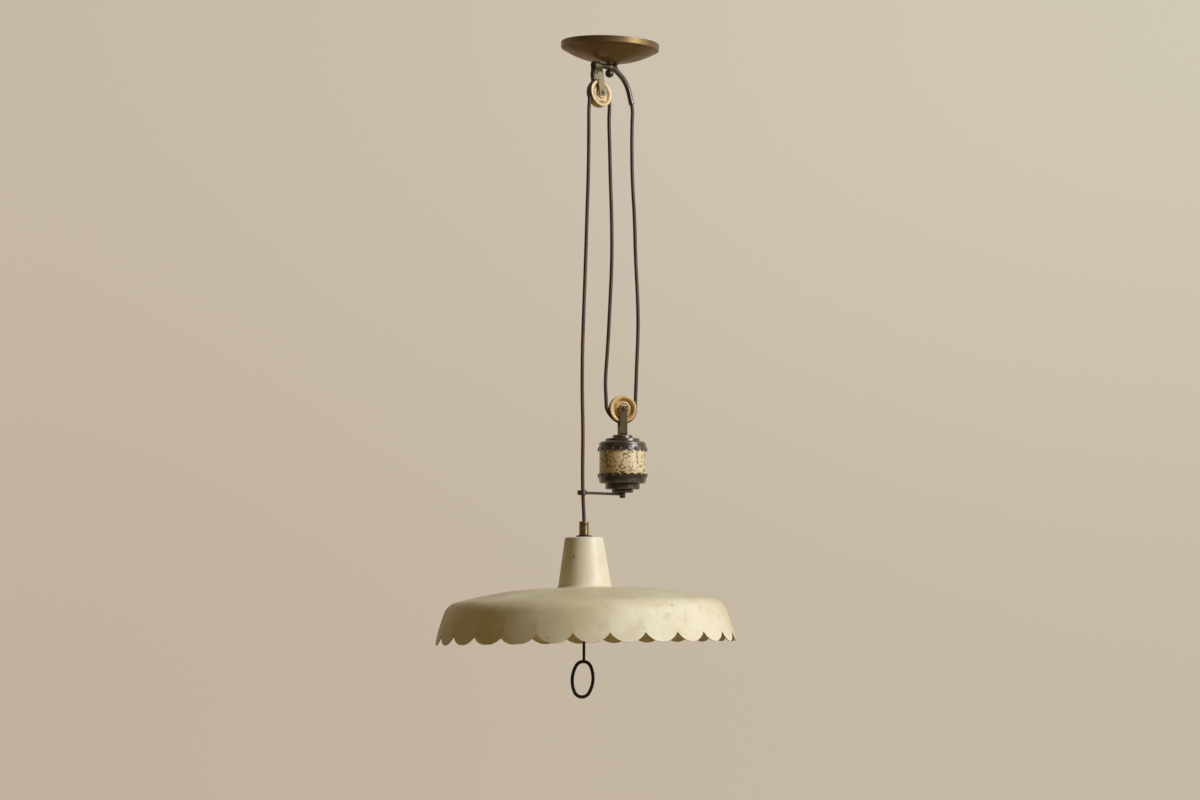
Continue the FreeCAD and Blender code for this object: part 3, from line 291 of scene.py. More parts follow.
for piece, line in zip(flex_pieces, (feed_line, right_line, left_line, wheel_line, lamp_whole)):
    print(piece.name, "length %.3f m" % line_length(line))

# %% [markdown]
# Each length is tied to what it hangs from: the feed and both runs to the ceiling, the length round
# the wheel to the weight. The run to the lamp is left as it is made.

# %% Let the flex follow the ceiling and the weight
for piece, top, low in (
        (flex_right, right_line[0], right_line[-1]), (flex_left, left_line[-1], left_line[0])):
    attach(piece, "ceiling")
    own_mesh(piece)
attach(flex_feed, "ceiling")
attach(flex_wheel, "counterweight")
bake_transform(flex_lamp)
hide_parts("feed_cord")
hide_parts("cord_loop")
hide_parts("cord_loop")
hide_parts("cord_loop")
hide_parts("lamp_cord", "cord_loop")

# %% [markdown]
# ## Ways to turn and shape a piece
# Most of this lamp was spun or turned on a lathe, so one helper draws a half outline by extruding a
# single point along it, spins that round, and closes it. The bent tube is made along its line as
# the flex is.


# %% Helpers for modelling
def deselect():
    if bpy.context.object and bpy.context.object.mode != "OBJECT":
        bpy.ops.object.mode_set(mode="OBJECT")
    bpy.ops.object.select_all(action="DESELECT")


def arc_points(centre, radius, start, end, count):
    """Points of a round stretch of an outline, degrees counted from straight up, outward."""
    points = []
    for i in range(count + 1):
        angle = math.radians(start + (end - start) * i / count)
        points.append((centre[0] + radius * math.sin(angle), centre[1] + radius * math.cos(angle)))
    return points


def turned_piece(name, outline, steps, first_angle=0.0):
    """Spin an outline of (radius, height) points round Z."""
    deselect()
    bpy.ops.mesh.primitive_plane_add(size=0.001, location=(0, 0, 0))
    piece = bpy.context.object
    piece.name = name
    bpy.ops.object.mode_set(mode="EDIT")
    bpy.ops.mesh.select_all(action="SELECT")
    bpy.ops.mesh.merge(type="CENTER")
    bpy.ops.transform.translate(value=(outline[0][0], 0, outline[0][1]))
    for here, there in zip(outline, outline[1:]):
        step = (there[0] - here[0], 0, there[1] - here[1])
        bpy.ops.mesh.extrude_region_move(TRANSFORM_OT_translate={"value": step})
    bpy.ops.mesh.select_all(action="SELECT")
    bpy.ops.mesh.spin(steps=steps, angle=2 * math.pi, center=(0, 0, 0), axis=(0, 0, 1))
    bpy.ops.mesh.select_all(action="SELECT")
    bpy.ops.mesh.remove_doubles(threshold=1e-6)
    bpy.ops.mesh.normals_make_consistent(inside=False)
    bpy.ops.object.mode_set(mode="OBJECT")
    piece.data.transform(Matrix.Rotation(first_angle, 4, "Z"))
    mark_bends(piece, outline)
    return piece


def mark_bends(piece, outline):
    """Store on each point how much the outline bulges there ("worn") or is hollow ("recess").

    Both reach 1 where the outline turns by full_bend radians at the point.
    """
    bends = {}
    area = sum(a[0] * b[1] - b[0] * a[1] for a, b in zip(outline, outline[1:]))
    for before, here, after in zip(outline, outline[1:], outline[2:]):
        way_in = math.atan2(here[1] - before[1], here[0] - before[0])
        way_out = math.atan2(after[1] - here[1], after[0] - here[0])
        bend = (way_out - way_in + math.pi) % (2 * math.pi) - math.pi
        bends[(round(here[0], 6), round(here[1], 6))] = bend if area > 0 else -bend
    worn = piece.data.attributes.new("worn", "FLOAT", "POINT")
    recess = piece.data.attributes.new("recess", "FLOAT", "POINT")
    full_bend = 0.3125
    for i, vertex in enumerate(piece.data.vertices):
        x, y, z = vertex.co
        bend = bends.get((round(math.hypot(x, y), 6), round(z, 6)), 0.0)
        worn.data[i].value = min(1.0, max(0.0, bend) / full_bend)
        recess.data[i].value = min(1.0, max(0.0, -bend) / full_bend)


def stand_at(piece, matrix):
    """Put a piece in its place, with the place in its mesh."""
    piece.data.transform(matrix)
    piece.data.update()


def select_only(piece):
    bpy.ops.object.select_all(action="DESELECT")
    bpy.context.view_layer.objects.active = piece
    piece.select_set(True)


def give_wall(piece, thickness, **settings):
    """Give a skin its wall, inward from the skin."""
    select_only(piece)
    modifier = piece.modifiers.new("wall", "SOLIDIFY")
    modifier.thickness = thickness
    modifier.offset = -1.0
    for key, value in settings.items():
        setattr(modifier, key, value)
    bpy.ops.object.modifier_apply(modifier=modifier.name)


def smooth(piece, degrees=40):
    """Shade smooth, with edges sharper than the angle left crisp."""
    select_only(piece)
    bpy.ops.object.shade_smooth_by_angle(angle=math.radians(degrees))


# %% [markdown]
# ## The shade
# The real shade is one disc of metal spun over a former: a tapering neck, a nearly flat crown, a
# tight shoulder and a skirt whose edge was cut into round lobes. It is turned here as one skin, its
# lowest rows are drawn up between the lobes, a little hand-made unevenness is added, and the wall
# is given its thickness inward.

# %% Outline of the shade
shade_top = -762.2 * MM
neck_top_r, neck_foot_r, neck_h = 28.8 * MM, 39.8 * MM, 71.5 * MM
neck_corner, neck_fillet = 3.0 * MM, 5.0 * MM
crown_r, crown_end = 595 * MM, 14.58
shoulder_r, shoulder_end = 28 * MM, 70.0
skirt_r, skirt_end = 373 * MM, 77.5
wall = 1.2 * MM
scallops, scallop_depth, scallop_turn = 26, 14.5 * MM, math.radians(-94.4)
pipe_hole_r, top_flat_r = 5.1 * MM, 16 * MM
neck_rows, crown_rows, shoulder_rows, skirt_rows = 8, 18, 10, 18
neck_lean = math.atan2(neck_foot_r - neck_top_r, neck_h)


def neck_line(z):
    return neck_top_r + (shade_top - z) * math.tan(neck_lean)


def along(centre, radius, degrees):
    return arc_points(centre, radius, degrees, degrees, 1)[0]


crown_z = shade_top - neck_h - neck_fillet
lean = math.degrees(neck_lean)
corner_z = shade_top - neck_corner
corner_centre = (neck_line(corner_z) - neck_corner / math.cos(neck_lean), corner_z)
fillet_z = crown_z + neck_fillet
fillet_centre = (neck_line(fillet_z) + neck_fillet / math.cos(neck_lean), fillet_z)
crown_centre = (fillet_centre[0], crown_z - crown_r)
shoulder_centre = along(along(crown_centre, crown_r, crown_end), -shoulder_r, crown_end)
skirt_centre = along(along(shoulder_centre, shoulder_r, shoulder_end), -skirt_r, shoulder_end)
rim_r, rim_z = along(skirt_centre, skirt_r, skirt_end)
shade_line = [(pipe_hole_r, shade_top), (top_flat_r, shade_top)]
shade_line += arc_points(corner_centre, neck_corner, 0, 90 - lean, 5)
neck_low = along(fillet_centre, neck_fillet, -90 - lean)
neck_high = shade_line[-1]
for i in range(1, neck_rows):
    shade_line.append(tuple(a + (b - a) * i / neck_rows for a, b in zip(neck_high, neck_low)))
shade_line += arc_points(fillet_centre, neck_fillet, -90 - lean, -180, 5)
shade_line += arc_points(crown_centre, crown_r, 0, crown_end, crown_rows)[1:]
shade_line += arc_points(shoulder_centre, shoulder_r, crown_end, shoulder_end, shoulder_rows)[1:]
shade_line += arc_points(skirt_centre, skirt_r, shoulder_end, skirt_end, skirt_rows)[1:]
print("shade rim: radius %.1f mm at z %.1f mm" % (rim_r / MM, rim_z / MM))

# %% Turn the shade and cut its lobes
lobe_steps = 16
shade = turned_piece("shade_skin", shade_line, scallops * lobe_steps, scallop_turn)
skirt_top_r, skirt_top_z = along(shoulder_centre, shoulder_r, shoulder_end)


def draw_lobes(piece, count, turn, edge_r, depth, tip_z, hinge_z, taper=0.0, puff=0.0, uneven=0.0):
    """Draw the wall between the lobes back towards hinge_z, so that its edge ends in round lobes.

    taper is how much the wall spreads per height, puff swells each lobe outward, and uneven makes
    some notches deeper than others.
    """
    pitch = 2 * math.pi / count
    half = edge_r * math.sin(pitch / 2)
    lobe_r = (half ** 2 + depth ** 2) / (2 * depth)
    way = 1 if hinge_z > tip_z else -1
    for vertex in piece.data.vertices:
        x, y, z = vertex.co
        place = (z - hinge_z) / (tip_z - hinge_z)
        if place < 1e-3:
            continue
        angle = math.atan2(y, x)
        number, share = divmod((angle - turn) / pitch, 1.0)
        across = (share - 0.5) * 2 * half
        rise = lobe_r - math.sqrt(lobe_r ** 2 - across ** 2)
        fullness = 1 - rise / depth
        own_place = Vector((number * 3.7, 1.3, 0.4))
        rise += uneven * noise.noise(own_place) * (1 - fullness)
        fade = min(place, 1.0) ** 1.6
        rise *= fade
        radius = math.hypot(x, y) - rise * taper + puff * fullness * place
        vertex.co = (radius * math.cos(angle), radius * math.sin(angle), z + way * rise)


skirt_taper = 0.75 * (rim_r - skirt_top_r) / (skirt_top_z - rim_z)
draw_lobes(shade, scallops, scallop_turn, rim_r, scallop_depth, rim_z, skirt_top_z, skirt_taper,
           uneven=0.7 * MM)
swell_scale, swell_depth = 14, 0.55 * MM
dent_scale, dent_depth = 45, 0.16 * MM
even_r, even_fade = 20 * MM, 30 * MM
outward_rise, other_noise = 0.7, Vector((0, 0, 7))
for vertex in shade.data.vertices:
    x, y, z = vertex.co
    radius = math.hypot(x, y)
    if radius > even_r:
        wave = noise.noise(vertex.co * swell_scale) * swell_depth
        wave += noise.noise(vertex.co * dent_scale + other_noise) * dent_depth
        wave *= min(1.0, (radius - even_r) / even_fade)
        vertex.co += Vector((x / radius, y / radius, outward_rise)).normalized() * wave
for slot in range(2):
    shade.data.materials.append(None)
give_wall(shade, wall, use_even_offset=True, material_offset_rim=1)
smooth(shade)
shade_lean = math.radians(-0.9)
shade_hang = Matrix.Translation(lamp_axis + Vector((0, 0, shade_top)))
shade_hang = shade_hang @ Matrix.Rotation(shade_lean, 4, "Y")
stand_at(shade, shade_hang @ Matrix.Translation((0, 0, -shade_top)))
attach(shade, "lamp")
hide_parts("shade")
print("shade:", len(shade.data.polygons), "faces")

# %% [markdown]
# ## The pulleys
# Both wheels are moulded in an ivory-coloured plastic, with rounded lips, a groove for the flex and
# faces that are hollow between the lip and a ridge round the hub. The hollow's far wall holds the
# shadow that makes the wheel read as deep, so the face is drawn point by point.

# %% Turn the pulleys
wheel_r, wheel_half = 21.0 * MM, 6.2 * MM
groove_r, groove_deg = 3.1 * MM, 52.0
hub_r, hub_half, hub_edge, bore_r = 6.6 * MM, 6.4 * MM, 0.5 * MM, 3.45 * MM
lip_r, lip_height, lip_edge = 1.0 * MM, 1.9 * MM, 0.45 * MM
face_line = (
    (6.75, 3.6), (7.1, 2.8), (7.8, 2.4), (8.5, 2.5), (9.0, 3.0), (9.7, 3.35), (10.5, 3.3),
    (11.1, 2.8), (11.8, 2.3), (12.9, 2.1), (14.0, 2.3), (14.9, 2.9), (15.6, 3.8), (16.2, 4.8),
    (16.8, 5.6), (17.5, 6.05), (18.3, 6.2))


def wheel_outline():
    """Half outline: hub, the ridge and the hollow of one face, lip and groove, then all mirrored."""
    side = [(bore_r, hub_half), (hub_r - hub_edge, hub_half)]
    side += [(hub_r - 0.3 * hub_edge, hub_half - 0.3 * hub_edge), (hub_r, hub_half - hub_edge)]
    side += [(r * MM, z * MM) for r, z in face_line]
    side += arc_points((wheel_r - lip_r, wheel_half - lip_r), lip_r, 10, 90, 5)
    lip_z = groove_r * math.sin(math.radians(groove_deg)) + lip_height
    side += [(wheel_r, lip_z), (wheel_r - 0.25 * MM, lip_z - lip_edge)]
    for degrees in (groove_deg, 39, 26, 13, 0):
        angle = math.radians(degrees)
        side.append((run_r - groove_r * math.cos(angle), groove_r * math.sin(angle)))
    return side + [(r, -z) for r, z in reversed(side[:-1])] + [side[0]]


lay_on_side = Matrix.Rotation(math.radians(90), 4, "X")
wheels = []
for name, node, body, wheel in (
        ("ceiling_wheel", "ceiling_pulley", "ceiling_pulley", ceiling_wheel),
        ("weight_wheel", "weight_pulley", "weight_pulley", weight_wheel)):
    piece = turned_piece(name, wheel_outline(), 96)
    smooth(piece, 30)
    stand_at(piece, wheel @ lay_on_side)
    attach(piece, body)
    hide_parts(node)
    wheels.append(piece)
print("pulleys:", len(wheels))

# %% [markdown]
# ## The axles
# Each wheel turns on a pin with a domed head on both sides of its fork. The heads stand out dark
# against the fork, so they get a true dome.

# %% Turn the axles
pin_r, fork_out, head_r, head_h = 2.0 * MM, 8.6 * MM, 3.2 * MM, 1.5 * MM
dome = ((0.0, 1.0), (1.1, 1.0), (2.0, 0.86), (2.7, 0.6), (3.1, 0.26))
head_line = [(r * MM, fork_out + head_h * share) for r, share in dome]
head_line += [(head_r, fork_out), (pin_r, fork_out)]
pin_line = head_line + [(r, -z) for r, z in reversed(head_line)]
axles = []
for name, node, body, wheel in (
        ("ceiling_pin", "ceiling_axle", "ceiling", ceiling_wheel),
        ("weight_pin", "weight_axle", "counterweight", weight_wheel)):
    pin = turned_piece(name, pin_line, 32)
    smooth(pin)
    stand_at(pin, wheel @ lay_on_side)
    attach(pin, body)
    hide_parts(node)
    axles.append(pin)
print("axles:", [len(pin.data.polygons) for pin in axles])

# %% [markdown]
# ## The arm tube
# One bent tube carries the whole lamp: the ceiling fork sits on its straight left part, the stem
# goes through it, and its right end turns down as a mouth for the flex. Its line is straight
# stretches joined by round bends, and the mouth has a small rolled lip that keeps the flex whole.


# %% Bend the arm tube
def rounded_line(points, radii, turn_steps=10):
    """Straight stretches between points, with a round bend of its own radius at each inner one."""
    line = [points[0]]
    for before, corner, after, radius in zip(points, points[1:], points[2:], radii):
        back = (before - corner).normalized()
        ahead = (after - corner).normalized()
        half = back.angle(ahead) / 2
        centre = corner + (back + ahead).normalized() * (radius / math.sin(half))
        start = corner + back * (radius / math.tan(half)) - centre
        end = corner + ahead * (radius / math.tan(half)) - centre
        for i in range(turn_steps + 1):
            line.append(centre + start.slerp(end, i / turn_steps) * radius)
    return line + [points[-1]]


tube_r, tube_wall = 4.2 * MM, 1.1 * MM
bend_radii = (14 * MM, 38 * MM, 55 * MM)
lip_rings = ((2.4, 0.0), (1.6, 0.15), (1.0, 0.5), (0.4, 0.55), (0.0, 0.3))
tube_points = [in_plane(*p) for p in ((-33.0, -36.5), (8.0, -36.5), *arm_turns)]
tube_line = rounded_line(tube_points, bend_radii)
mouth_at = tube_line.pop()
tube_radii = [tube_r] * len(tube_line) + [tube_r + swell * MM for back, swell in lip_rings]
tube_line += [mouth_at - mouth_way * back * MM for back, swell in lip_rings]
arm = tube_along("arm_pipe", tube_line, tube_radii, sides=32, closed=False)
give_wall(arm, tube_wall)
smooth(arm)
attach(arm, "ceiling")
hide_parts("arm_tube")
print("arm tube: %.0f mm along its middle" % (line_length(tube_line) / MM))

# %% [markdown]
# ## The ceiling plate
# The plate is a shallow dish spun from sheet, with an upright rim whose edge is rolled over. It is
# held only at its centre, so it hangs a little out of level, as such plates do.

# %% Turn the ceiling plate
plate_r, plate_rim, plate_depth, plate_wall = 75.5 * MM, 10.5 * MM, 31.0 * MM, 1.2 * MM
plate_corner, plate_hole_r = 2.5 * MM, 2.1 * MM
roll_r, roll_in = 1.1 * MM, 0.9 * MM
plate_lean = math.radians(2.2)
dish_edge_r = plate_r - plate_corner
dish_rise = plate_depth - plate_rim
dish_r = (dish_edge_r ** 2 + dish_rise ** 2) / (2 * dish_rise)


def dish_z(radius, offset=0.0):
    """Height of the dish at a radius; offset moves it up by the wall."""
    return -plate_depth + dish_r - math.sqrt((dish_r - offset) ** 2 - radius ** 2)


plate_line = [(plate_hole_r, -plate_depth)]
plate_line += [(dish_edge_r * i / 20, dish_z(dish_edge_r * i / 20)) for i in range(2, 21)]
corner_at = (dish_edge_r, -plate_rim + plate_corner)
plate_line += arc_points(corner_at, plate_corner, 165, 90, 5)
plate_line += arc_points((plate_r - roll_in, -roll_in), roll_r, 110, -70, 8)
rim_inside = plate_r - plate_wall - 0.3 * MM
plate_line += [(rim_inside, -3 * MM), (rim_inside, corner_at[1])]
dish_inside = plate_r - plate_wall - 2 * plate_corner
for i in range(10, 0, -1):
    radius = dish_inside * i / 10
    plate_line.append((radius, dish_z(radius, plate_wall)))
plate_line += [(plate_hole_r, -plate_depth + plate_wall), plate_line[0]]
plate = turned_piece("ceiling_plate", plate_line, 144)
smooth(plate)
plate_low = Matrix.Translation((0, 0, -plate_depth))
stand_at(plate, plate_low @ Matrix.Rotation(plate_lean, 4, "Y") @ plate_low.inverted())
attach(plate, "ceiling")
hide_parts("canopy")
print("ceiling plate:", len(plate.data.polygons), "faces")

# %% [markdown]
# ## The caps of the counterweight
# Each cap was pressed from sheet: a boss, a step and a round shoulder, and below that a skirt that
# flares a little and ends in small lobes, which were dressed outward over the drum. One outline
# with its own sizes gives both caps, and the lower one is the same thing upside down.

# %% Turn the caps
cap_side, cap_round, cap_flare, cap_wall = 36.1 * MM, 4.0 * MM, 1.7 * MM, 0.9 * MM
step_r, rod_hole_r = 26.5 * MM, 2.8 * MM
cap_lobes, cap_lobe_depth, cap_lobe_steps = 20, 5.5 * MM, 12


def cap_outline(boss_r, boss_h, step_h, skirt):
    """Closed half outline of a cap; heights count from the drum's end, outward."""
    soft, hollow = 2.0 * MM, 0.7 * MM
    line = [(rod_hole_r, step_h + boss_h)]
    line += arc_points((boss_r - soft, step_h + boss_h - soft), soft, 0, 90, 5)
    line += arc_points((boss_r + hollow, step_h + hollow), hollow, -90, -180, 3)
    line += arc_points((step_r - soft, step_h - soft), soft, 0, 90, 5)
    line += arc_points((step_r + hollow, hollow), hollow, -90, -180, 3)
    line += arc_points((cap_side - cap_round, -cap_round), cap_round, 0, 90, 8)
    skirt_line = []
    for share in (i / 10 for i in range(1, 11)):
        radius = cap_side + cap_flare * share ** 2
        skirt_line.append((radius, -cap_round - (skirt - cap_round) * share))
    line += skirt_line
    line += [(r - cap_wall, z) for r, z in reversed(skirt_line)]
    line += [(cap_side - cap_wall, -cap_round), (cap_side - cap_wall, -2 * cap_wall)]
    return line + [(rod_hole_r, -2 * cap_wall), line[0]]


drum_top, drum_bottom = -614.1 * MM, -678.1 * MM
above_sizes = (15.5 * MM, 5.4 * MM, 5.0 * MM, 14.5 * MM)
below_sizes = (16.5 * MM, 5.4 * MM, 9.0 * MM, 15.0 * MM)
hinge_share = 0.34
caps = []
for name, node, sizes, end_z, flip in (
        ("weight_cap_above", "weight_top_cap", above_sizes, drum_top, 1),
        ("weight_cap_below", "weight_bottom_cap", below_sizes, drum_bottom, -1)):
    outline = [(r, flip * z) for r, z in cap_outline(*sizes)]
    cap = turned_piece(name, outline, cap_lobes * cap_lobe_steps)
    tip = -flip * sizes[3]
    draw_lobes(cap, cap_lobes, 0.0, cap_side, cap_lobe_depth, tip, tip * hinge_share,
               puff=0.7 * MM)
    smooth(cap)
    stand_at(cap, weight_frame @ Matrix.Translation((0, 0, end_z)))
    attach(cap, "counterweight")
    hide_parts(node)
    caps.append(cap)
print("caps:", [len(cap.data.polygons) for cap in caps])

# %% [markdown]
# ## The cord grip
# A small brass barrel clamps the flex above the shade. Its top is plain and the rest has rounded
# ribs to hold it by. Each rib is a short arc of the outline.

# %% Turn the cord grip
grip_r, grip_h = 7.5 * MM, 21.1 * MM
grip_foot = grip_top - grip_h
rib_depth, rib_pitch, ribs, rib_steps = 0.5 * MM, 1.75 * MM, 8, 6
grip_bore, grip_round, foot_edge = flex_r + 0.3 * MM, 0.9 * MM, 0.3 * MM
grip_mouth_r, mouth_depth, foot_band = 4.0 * MM, 1.2 * MM, 1.2 * MM
grip_line = [(grip_bore, grip_top - mouth_depth), (grip_mouth_r, grip_top)]
grip_line += arc_points((grip_r - grip_round, grip_top - grip_round), grip_round, 0, 90, 4)
first_rib = grip_foot + foot_band + ribs * rib_pitch
for i in range(ribs * rib_steps + 1):
    dip = rib_depth * (1 - abs(math.sin(math.pi * i / rib_steps)) ** 0.6)
    grip_line.append((grip_r - dip, first_rib - rib_pitch * i / rib_steps))
grip_line += [(grip_r, grip_foot + 0.8 * MM), (grip_r, grip_foot + foot_edge)]
grip_line += [(grip_r - foot_edge, grip_foot), (grip_bore, grip_foot), grip_line[0]]
grip = turned_piece("grip_barrel", grip_line, 64)
smooth(grip)
stand_at(grip, Matrix.Translation(lamp_axis))
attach(grip, "lamp")
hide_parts("cord_grip")
print("grip:", len(grip.data.polygons), "faces")

# %% [markdown]
# ## Colours
# Colours are written as they look under a plain light and turned to Blender's linear values.


# %% Helpers for materials
def colour(red, green, blue):
    """A colour of 0 to 255 per channel, in linear values."""
    made = []
    for value in (red, green, blue):
        share = value / 255
        made.append(share / 12.92 if share <= 0.04045 else ((share + 0.055) / 1.055) ** 2.4)
    return (*made, 1.0)


def add(tree, kind, **settings):
    node = tree.nodes.new(kind)
    for key, value in settings.items():
        setattr(node, key, value)
    return node


def feed(tree, socket, value):
    """Give a socket a number, vector or colour, or join another socket to it."""
    if isinstance(value, (int, float, tuple)):
        socket.default_value = value
    else:
        tree.links.new(value, socket)


def fill(tree, node, **values):
    """Feed a node's inputs by their names, written with _ for a space."""
    for label, value in values.items():
        feed(tree, node.inputs[label.replace("_", " ")], value)
    return node


def maths(tree, operation, a, b=None):
    """One Math node; a and b are sockets or numbers."""
    node = add(tree, "ShaderNodeMath", operation=operation)
    feed(tree, node.inputs[0], a)
    if b is not None:
        feed(tree, node.inputs[1], b)
    return node.outputs[0]


def blend_colours(tree, mask, first, second):
    """Mix two colours, or colour sockets, by a mask."""
    node = add(tree, "ShaderNodeMix", data_type="RGBA")
    for number, value in ((0, mask), (6, first), (7, second)):
        feed(tree, node.inputs[number], value)
    return node.outputs[2]


def ramp(tree, value, low, high, from_value=0.0, to_value=1.0):
    """A soft step of a value between low and high."""
    node = add(tree, "ShaderNodeMapRange", clamp=True, interpolation_type="SMOOTHSTEP")
    fill(tree, node, Value=value, From_Min=low, From_Max=high, To_Min=from_value, To_Max=to_value)
    return node.outputs["Result"]


def new_group(name, inputs, outputs):
    """A shader node group with named number inputs and number outputs."""
    tree = bpy.data.node_groups.new(name, "ShaderNodeTree")
    for label, default in inputs.items():
        socket = tree.interface.new_socket(label, in_out="INPUT", socket_type="NodeSocketFloat")
        socket.default_value = default
    for label in outputs:
        tree.interface.new_socket(label, in_out="OUTPUT", socket_type="NodeSocketFloat")
    return tree, add(tree, "NodeGroupInput").outputs, add(tree, "NodeGroupOutput").inputs


def use_group(tree, group, **values):
    """Place a group in a material with its own values."""
    return fill(tree, add(tree, "ShaderNodeGroup", node_tree=group), **values).outputs


def new_material(name, **values):
    """A material with one Principled shader and the values of its own sockets."""
    made = bpy.data.materials.new(name)
    made.use_nodes = True
    tree = made.node_tree
    return made, tree, fill(tree, tree.nodes["Principled BSDF"], **values)


def bump_into(tree, shader, height, distance):
    node = fill(tree, add(tree, "ShaderNodeBump"), Strength=1.0, Distance=distance, Height=height)
    fill(tree, shader, Normal=node.outputs["Normal"])


# %% [markdown]
# ## Effects that several finishes share
# `mottle` is the uneven cloudiness of any aged surface. `specks` are small dark spots, from dust or
# chips. A third group reads what was stored on the turned pieces: bulging edges are rubbed bright
# here and there, and hollows are darkened, partly as grime and partly as painted shade. `braid` is
# the cover of the flex, two sets of strands that cross.

# %% Cloudiness
mottle, given, made = new_group(
    "mottle", {"Scale": 20.0, "Low": 0.35, "High": 0.65, "Detail": 5.0}, ("Mask",))
place = add(mottle, "ShaderNodeTexCoord").outputs["Object"]
clouds = fill(mottle, add(mottle, "ShaderNodeTexNoise"), Vector=place, Scale=given["Scale"],
              Detail=given["Detail"], Roughness=0.6)
feed(mottle, made["Mask"], ramp(mottle, clouds.outputs["Fac"], given["Low"], given["High"]))
print("group:", mottle.name)

# %% Dark specks
specks, given, made = new_group("specks", {"Scale": 200.0, "Size": 0.2, "Share": 0.3}, ("Mask",))
place = add(specks, "ShaderNodeTexCoord").outputs["Object"]
cells = fill(specks, add(specks, "ShaderNodeTexVoronoi"), Vector=place, Scale=given["Scale"])
tone = fill(specks, add(specks, "ShaderNodeSeparateColor"), Color=cells.outputs["Color"])
size = maths(specks, "MULTIPLY", given["Size"], tone.outputs["Green"])
near = maths(specks, "LESS_THAN", cells.outputs["Distance"], size)
chosen = maths(specks, "LESS_THAN", tone.outputs["Red"], given["Share"])
feed(specks, made["Mask"], maths(specks, "MULTIPLY", near, chosen))
print("group:", specks.name)

# %% Rubbed edges, and grime with painted shade in the hollows
wear_and_shade, given, made = new_group("wear_and_shade", {"Scale": 150.0}, ("Rubbed", "GrimeAndShade"))
place = add(wear_and_shade, "ShaderNodeTexCoord").outputs["Object"]
# Hollows ("recess") are darkened: partly grime, partly painted shade where a hollow would be shaded.
for label, attribute, low, high in (
        ("Rubbed", "worn", 0.42, 0.72), ("GrimeAndShade", "recess", 0.3, 0.62)):
    marked = add(wear_and_shade, "ShaderNodeAttribute", attribute_name=attribute).outputs["Fac"]
    patches = fill(wear_and_shade, add(wear_and_shade, "ShaderNodeTexNoise"), Vector=place, Scale=given["Scale"])
    patchy = ramp(wear_and_shade, patches.outputs["Fac"], low, high)
    feed(wear_and_shade, made[label], maths(wear_and_shade, "MULTIPLY", marked, patchy))
print("group:", wear_and_shade.name)

# %% Braid
braid, given, made = new_group("braid", {"Strands": 8.0, "Pitch": 6 * MM}, ("Height",))
flow = add(braid, "ShaderNodeUVMap", uv_map="along_flex")
flow = fill(braid, add(braid, "ShaderNodeSeparateXYZ"), Vector=flow.outputs["UV"]).outputs
around = maths(braid, "MULTIPLY", flow["X"], given["Strands"])
lengthwise = maths(braid, "DIVIDE", flow["Y"], given["Pitch"])
lengthwise = maths(braid, "MULTIPLY", lengthwise, given["Strands"])
strands = []
for operation in ("ADD", "SUBTRACT"):
    angle = maths(braid, "MULTIPLY", maths(braid, operation, around, lengthwise), 2 * math.pi)
    strands.append(maths(braid, "SINE", angle))
feed(braid, made["Height"], maths(braid, "MULTIPLY", *strands))
print("group:", braid.name)


# %% [markdown]
# ## The metals
# The plate is a satin brown bronze, the tube, ball, caps and ring are nearly black, and small brass
# pieces keep a dull gold. They differ in colour, in how glossy they are and in how much the
# cloudiness shows, so one helper makes them all.


# %% Metals
def metal(name, dark, light, rough, scale=45.0, shine=0.9, coat=0.0):
    """An aged metal between a dark and a light tone, waxed where coat is above 0."""
    made, tree, shader = new_material(
        name, Roughness=rough, Metallic=shine, Coat_Weight=coat, Coat_Roughness=0.3)
    clouds = use_group(tree, mottle, Scale=scale, Low=0.32, High=0.7)["Mask"]
    dust = use_group(tree, specks, Scale=420.0, Size=0.34, Share=0.14)["Mask"]
    worn = use_group(tree, wear_and_shade)
    black = (*(v * 0.3 for v in dark[:3]), 1.0)
    tint = blend_colours(tree, clouds, dark, light)
    # Dust specks darken, the hollows darken towards black (grime and painted shade), and rubbed
    # edges lighten.
    for mask, share, tone in (
            (dust, 0.35, black), (worn["GrimeAndShade"], 0.8, black),
            (worn["Rubbed"], 0.7, colour(150, 128, 90))):
        tint = blend_colours(tree, maths(tree, "MULTIPLY", mask, share), tint, tone)
    gloss = ramp(tree, clouds, 0.0, 1.0, rough + 0.08, rough - 0.08)
    fill(tree, shader, Base_Color=tint, Roughness=gloss)
    fine = use_group(tree, mottle, Scale=scale * 14, Low=0.3, High=0.7, Detail=2.0)["Mask"]
    bump_into(tree, shader, fine, 0.01 * MM)
    return made


bronze_plate = metal(
    "bronze_plate", colour(128, 106, 72), colour(148, 125, 87), 0.46, scale=16.0, shine=0.8)
dark_bronze = metal(
    "dark_bronze", colour(50, 43, 31), colour(72, 63, 47), 0.44, shine=0.5, coat=1.0)
gun_metal = metal(
    "gun_metal", colour(68, 60, 54), colour(92, 83, 76), 0.28, scale=25.0, shine=0.6, coat=0.9)
brass = metal("brass_aged", colour(140, 118, 80), colour(168, 144, 102), 0.34, scale=20.0)
fork_metal = metal(
    "fork_metal", colour(112, 101, 78), colour(126, 115, 91), 0.42, scale=12.0, shine=0.8)
fork_brown = metal(
    "fork_brown", colour(84, 71, 46), colour(110, 94, 64), 0.5, scale=70.0, shine=0.6, coat=0.2)
bare_edge = metal(
    "bare_edge", colour(92, 72, 44), colour(168, 146, 102), 0.5, scale=70.0, shine=0.4)
iron_black = metal(
    "iron_black", colour(26, 23, 20), colour(42, 38, 34), 0.42, shine=0.5, coat=0.4)
zinc = metal("zinc_dull", colour(132, 128, 120), colour(160, 156, 148), 0.4)
print("metals made")
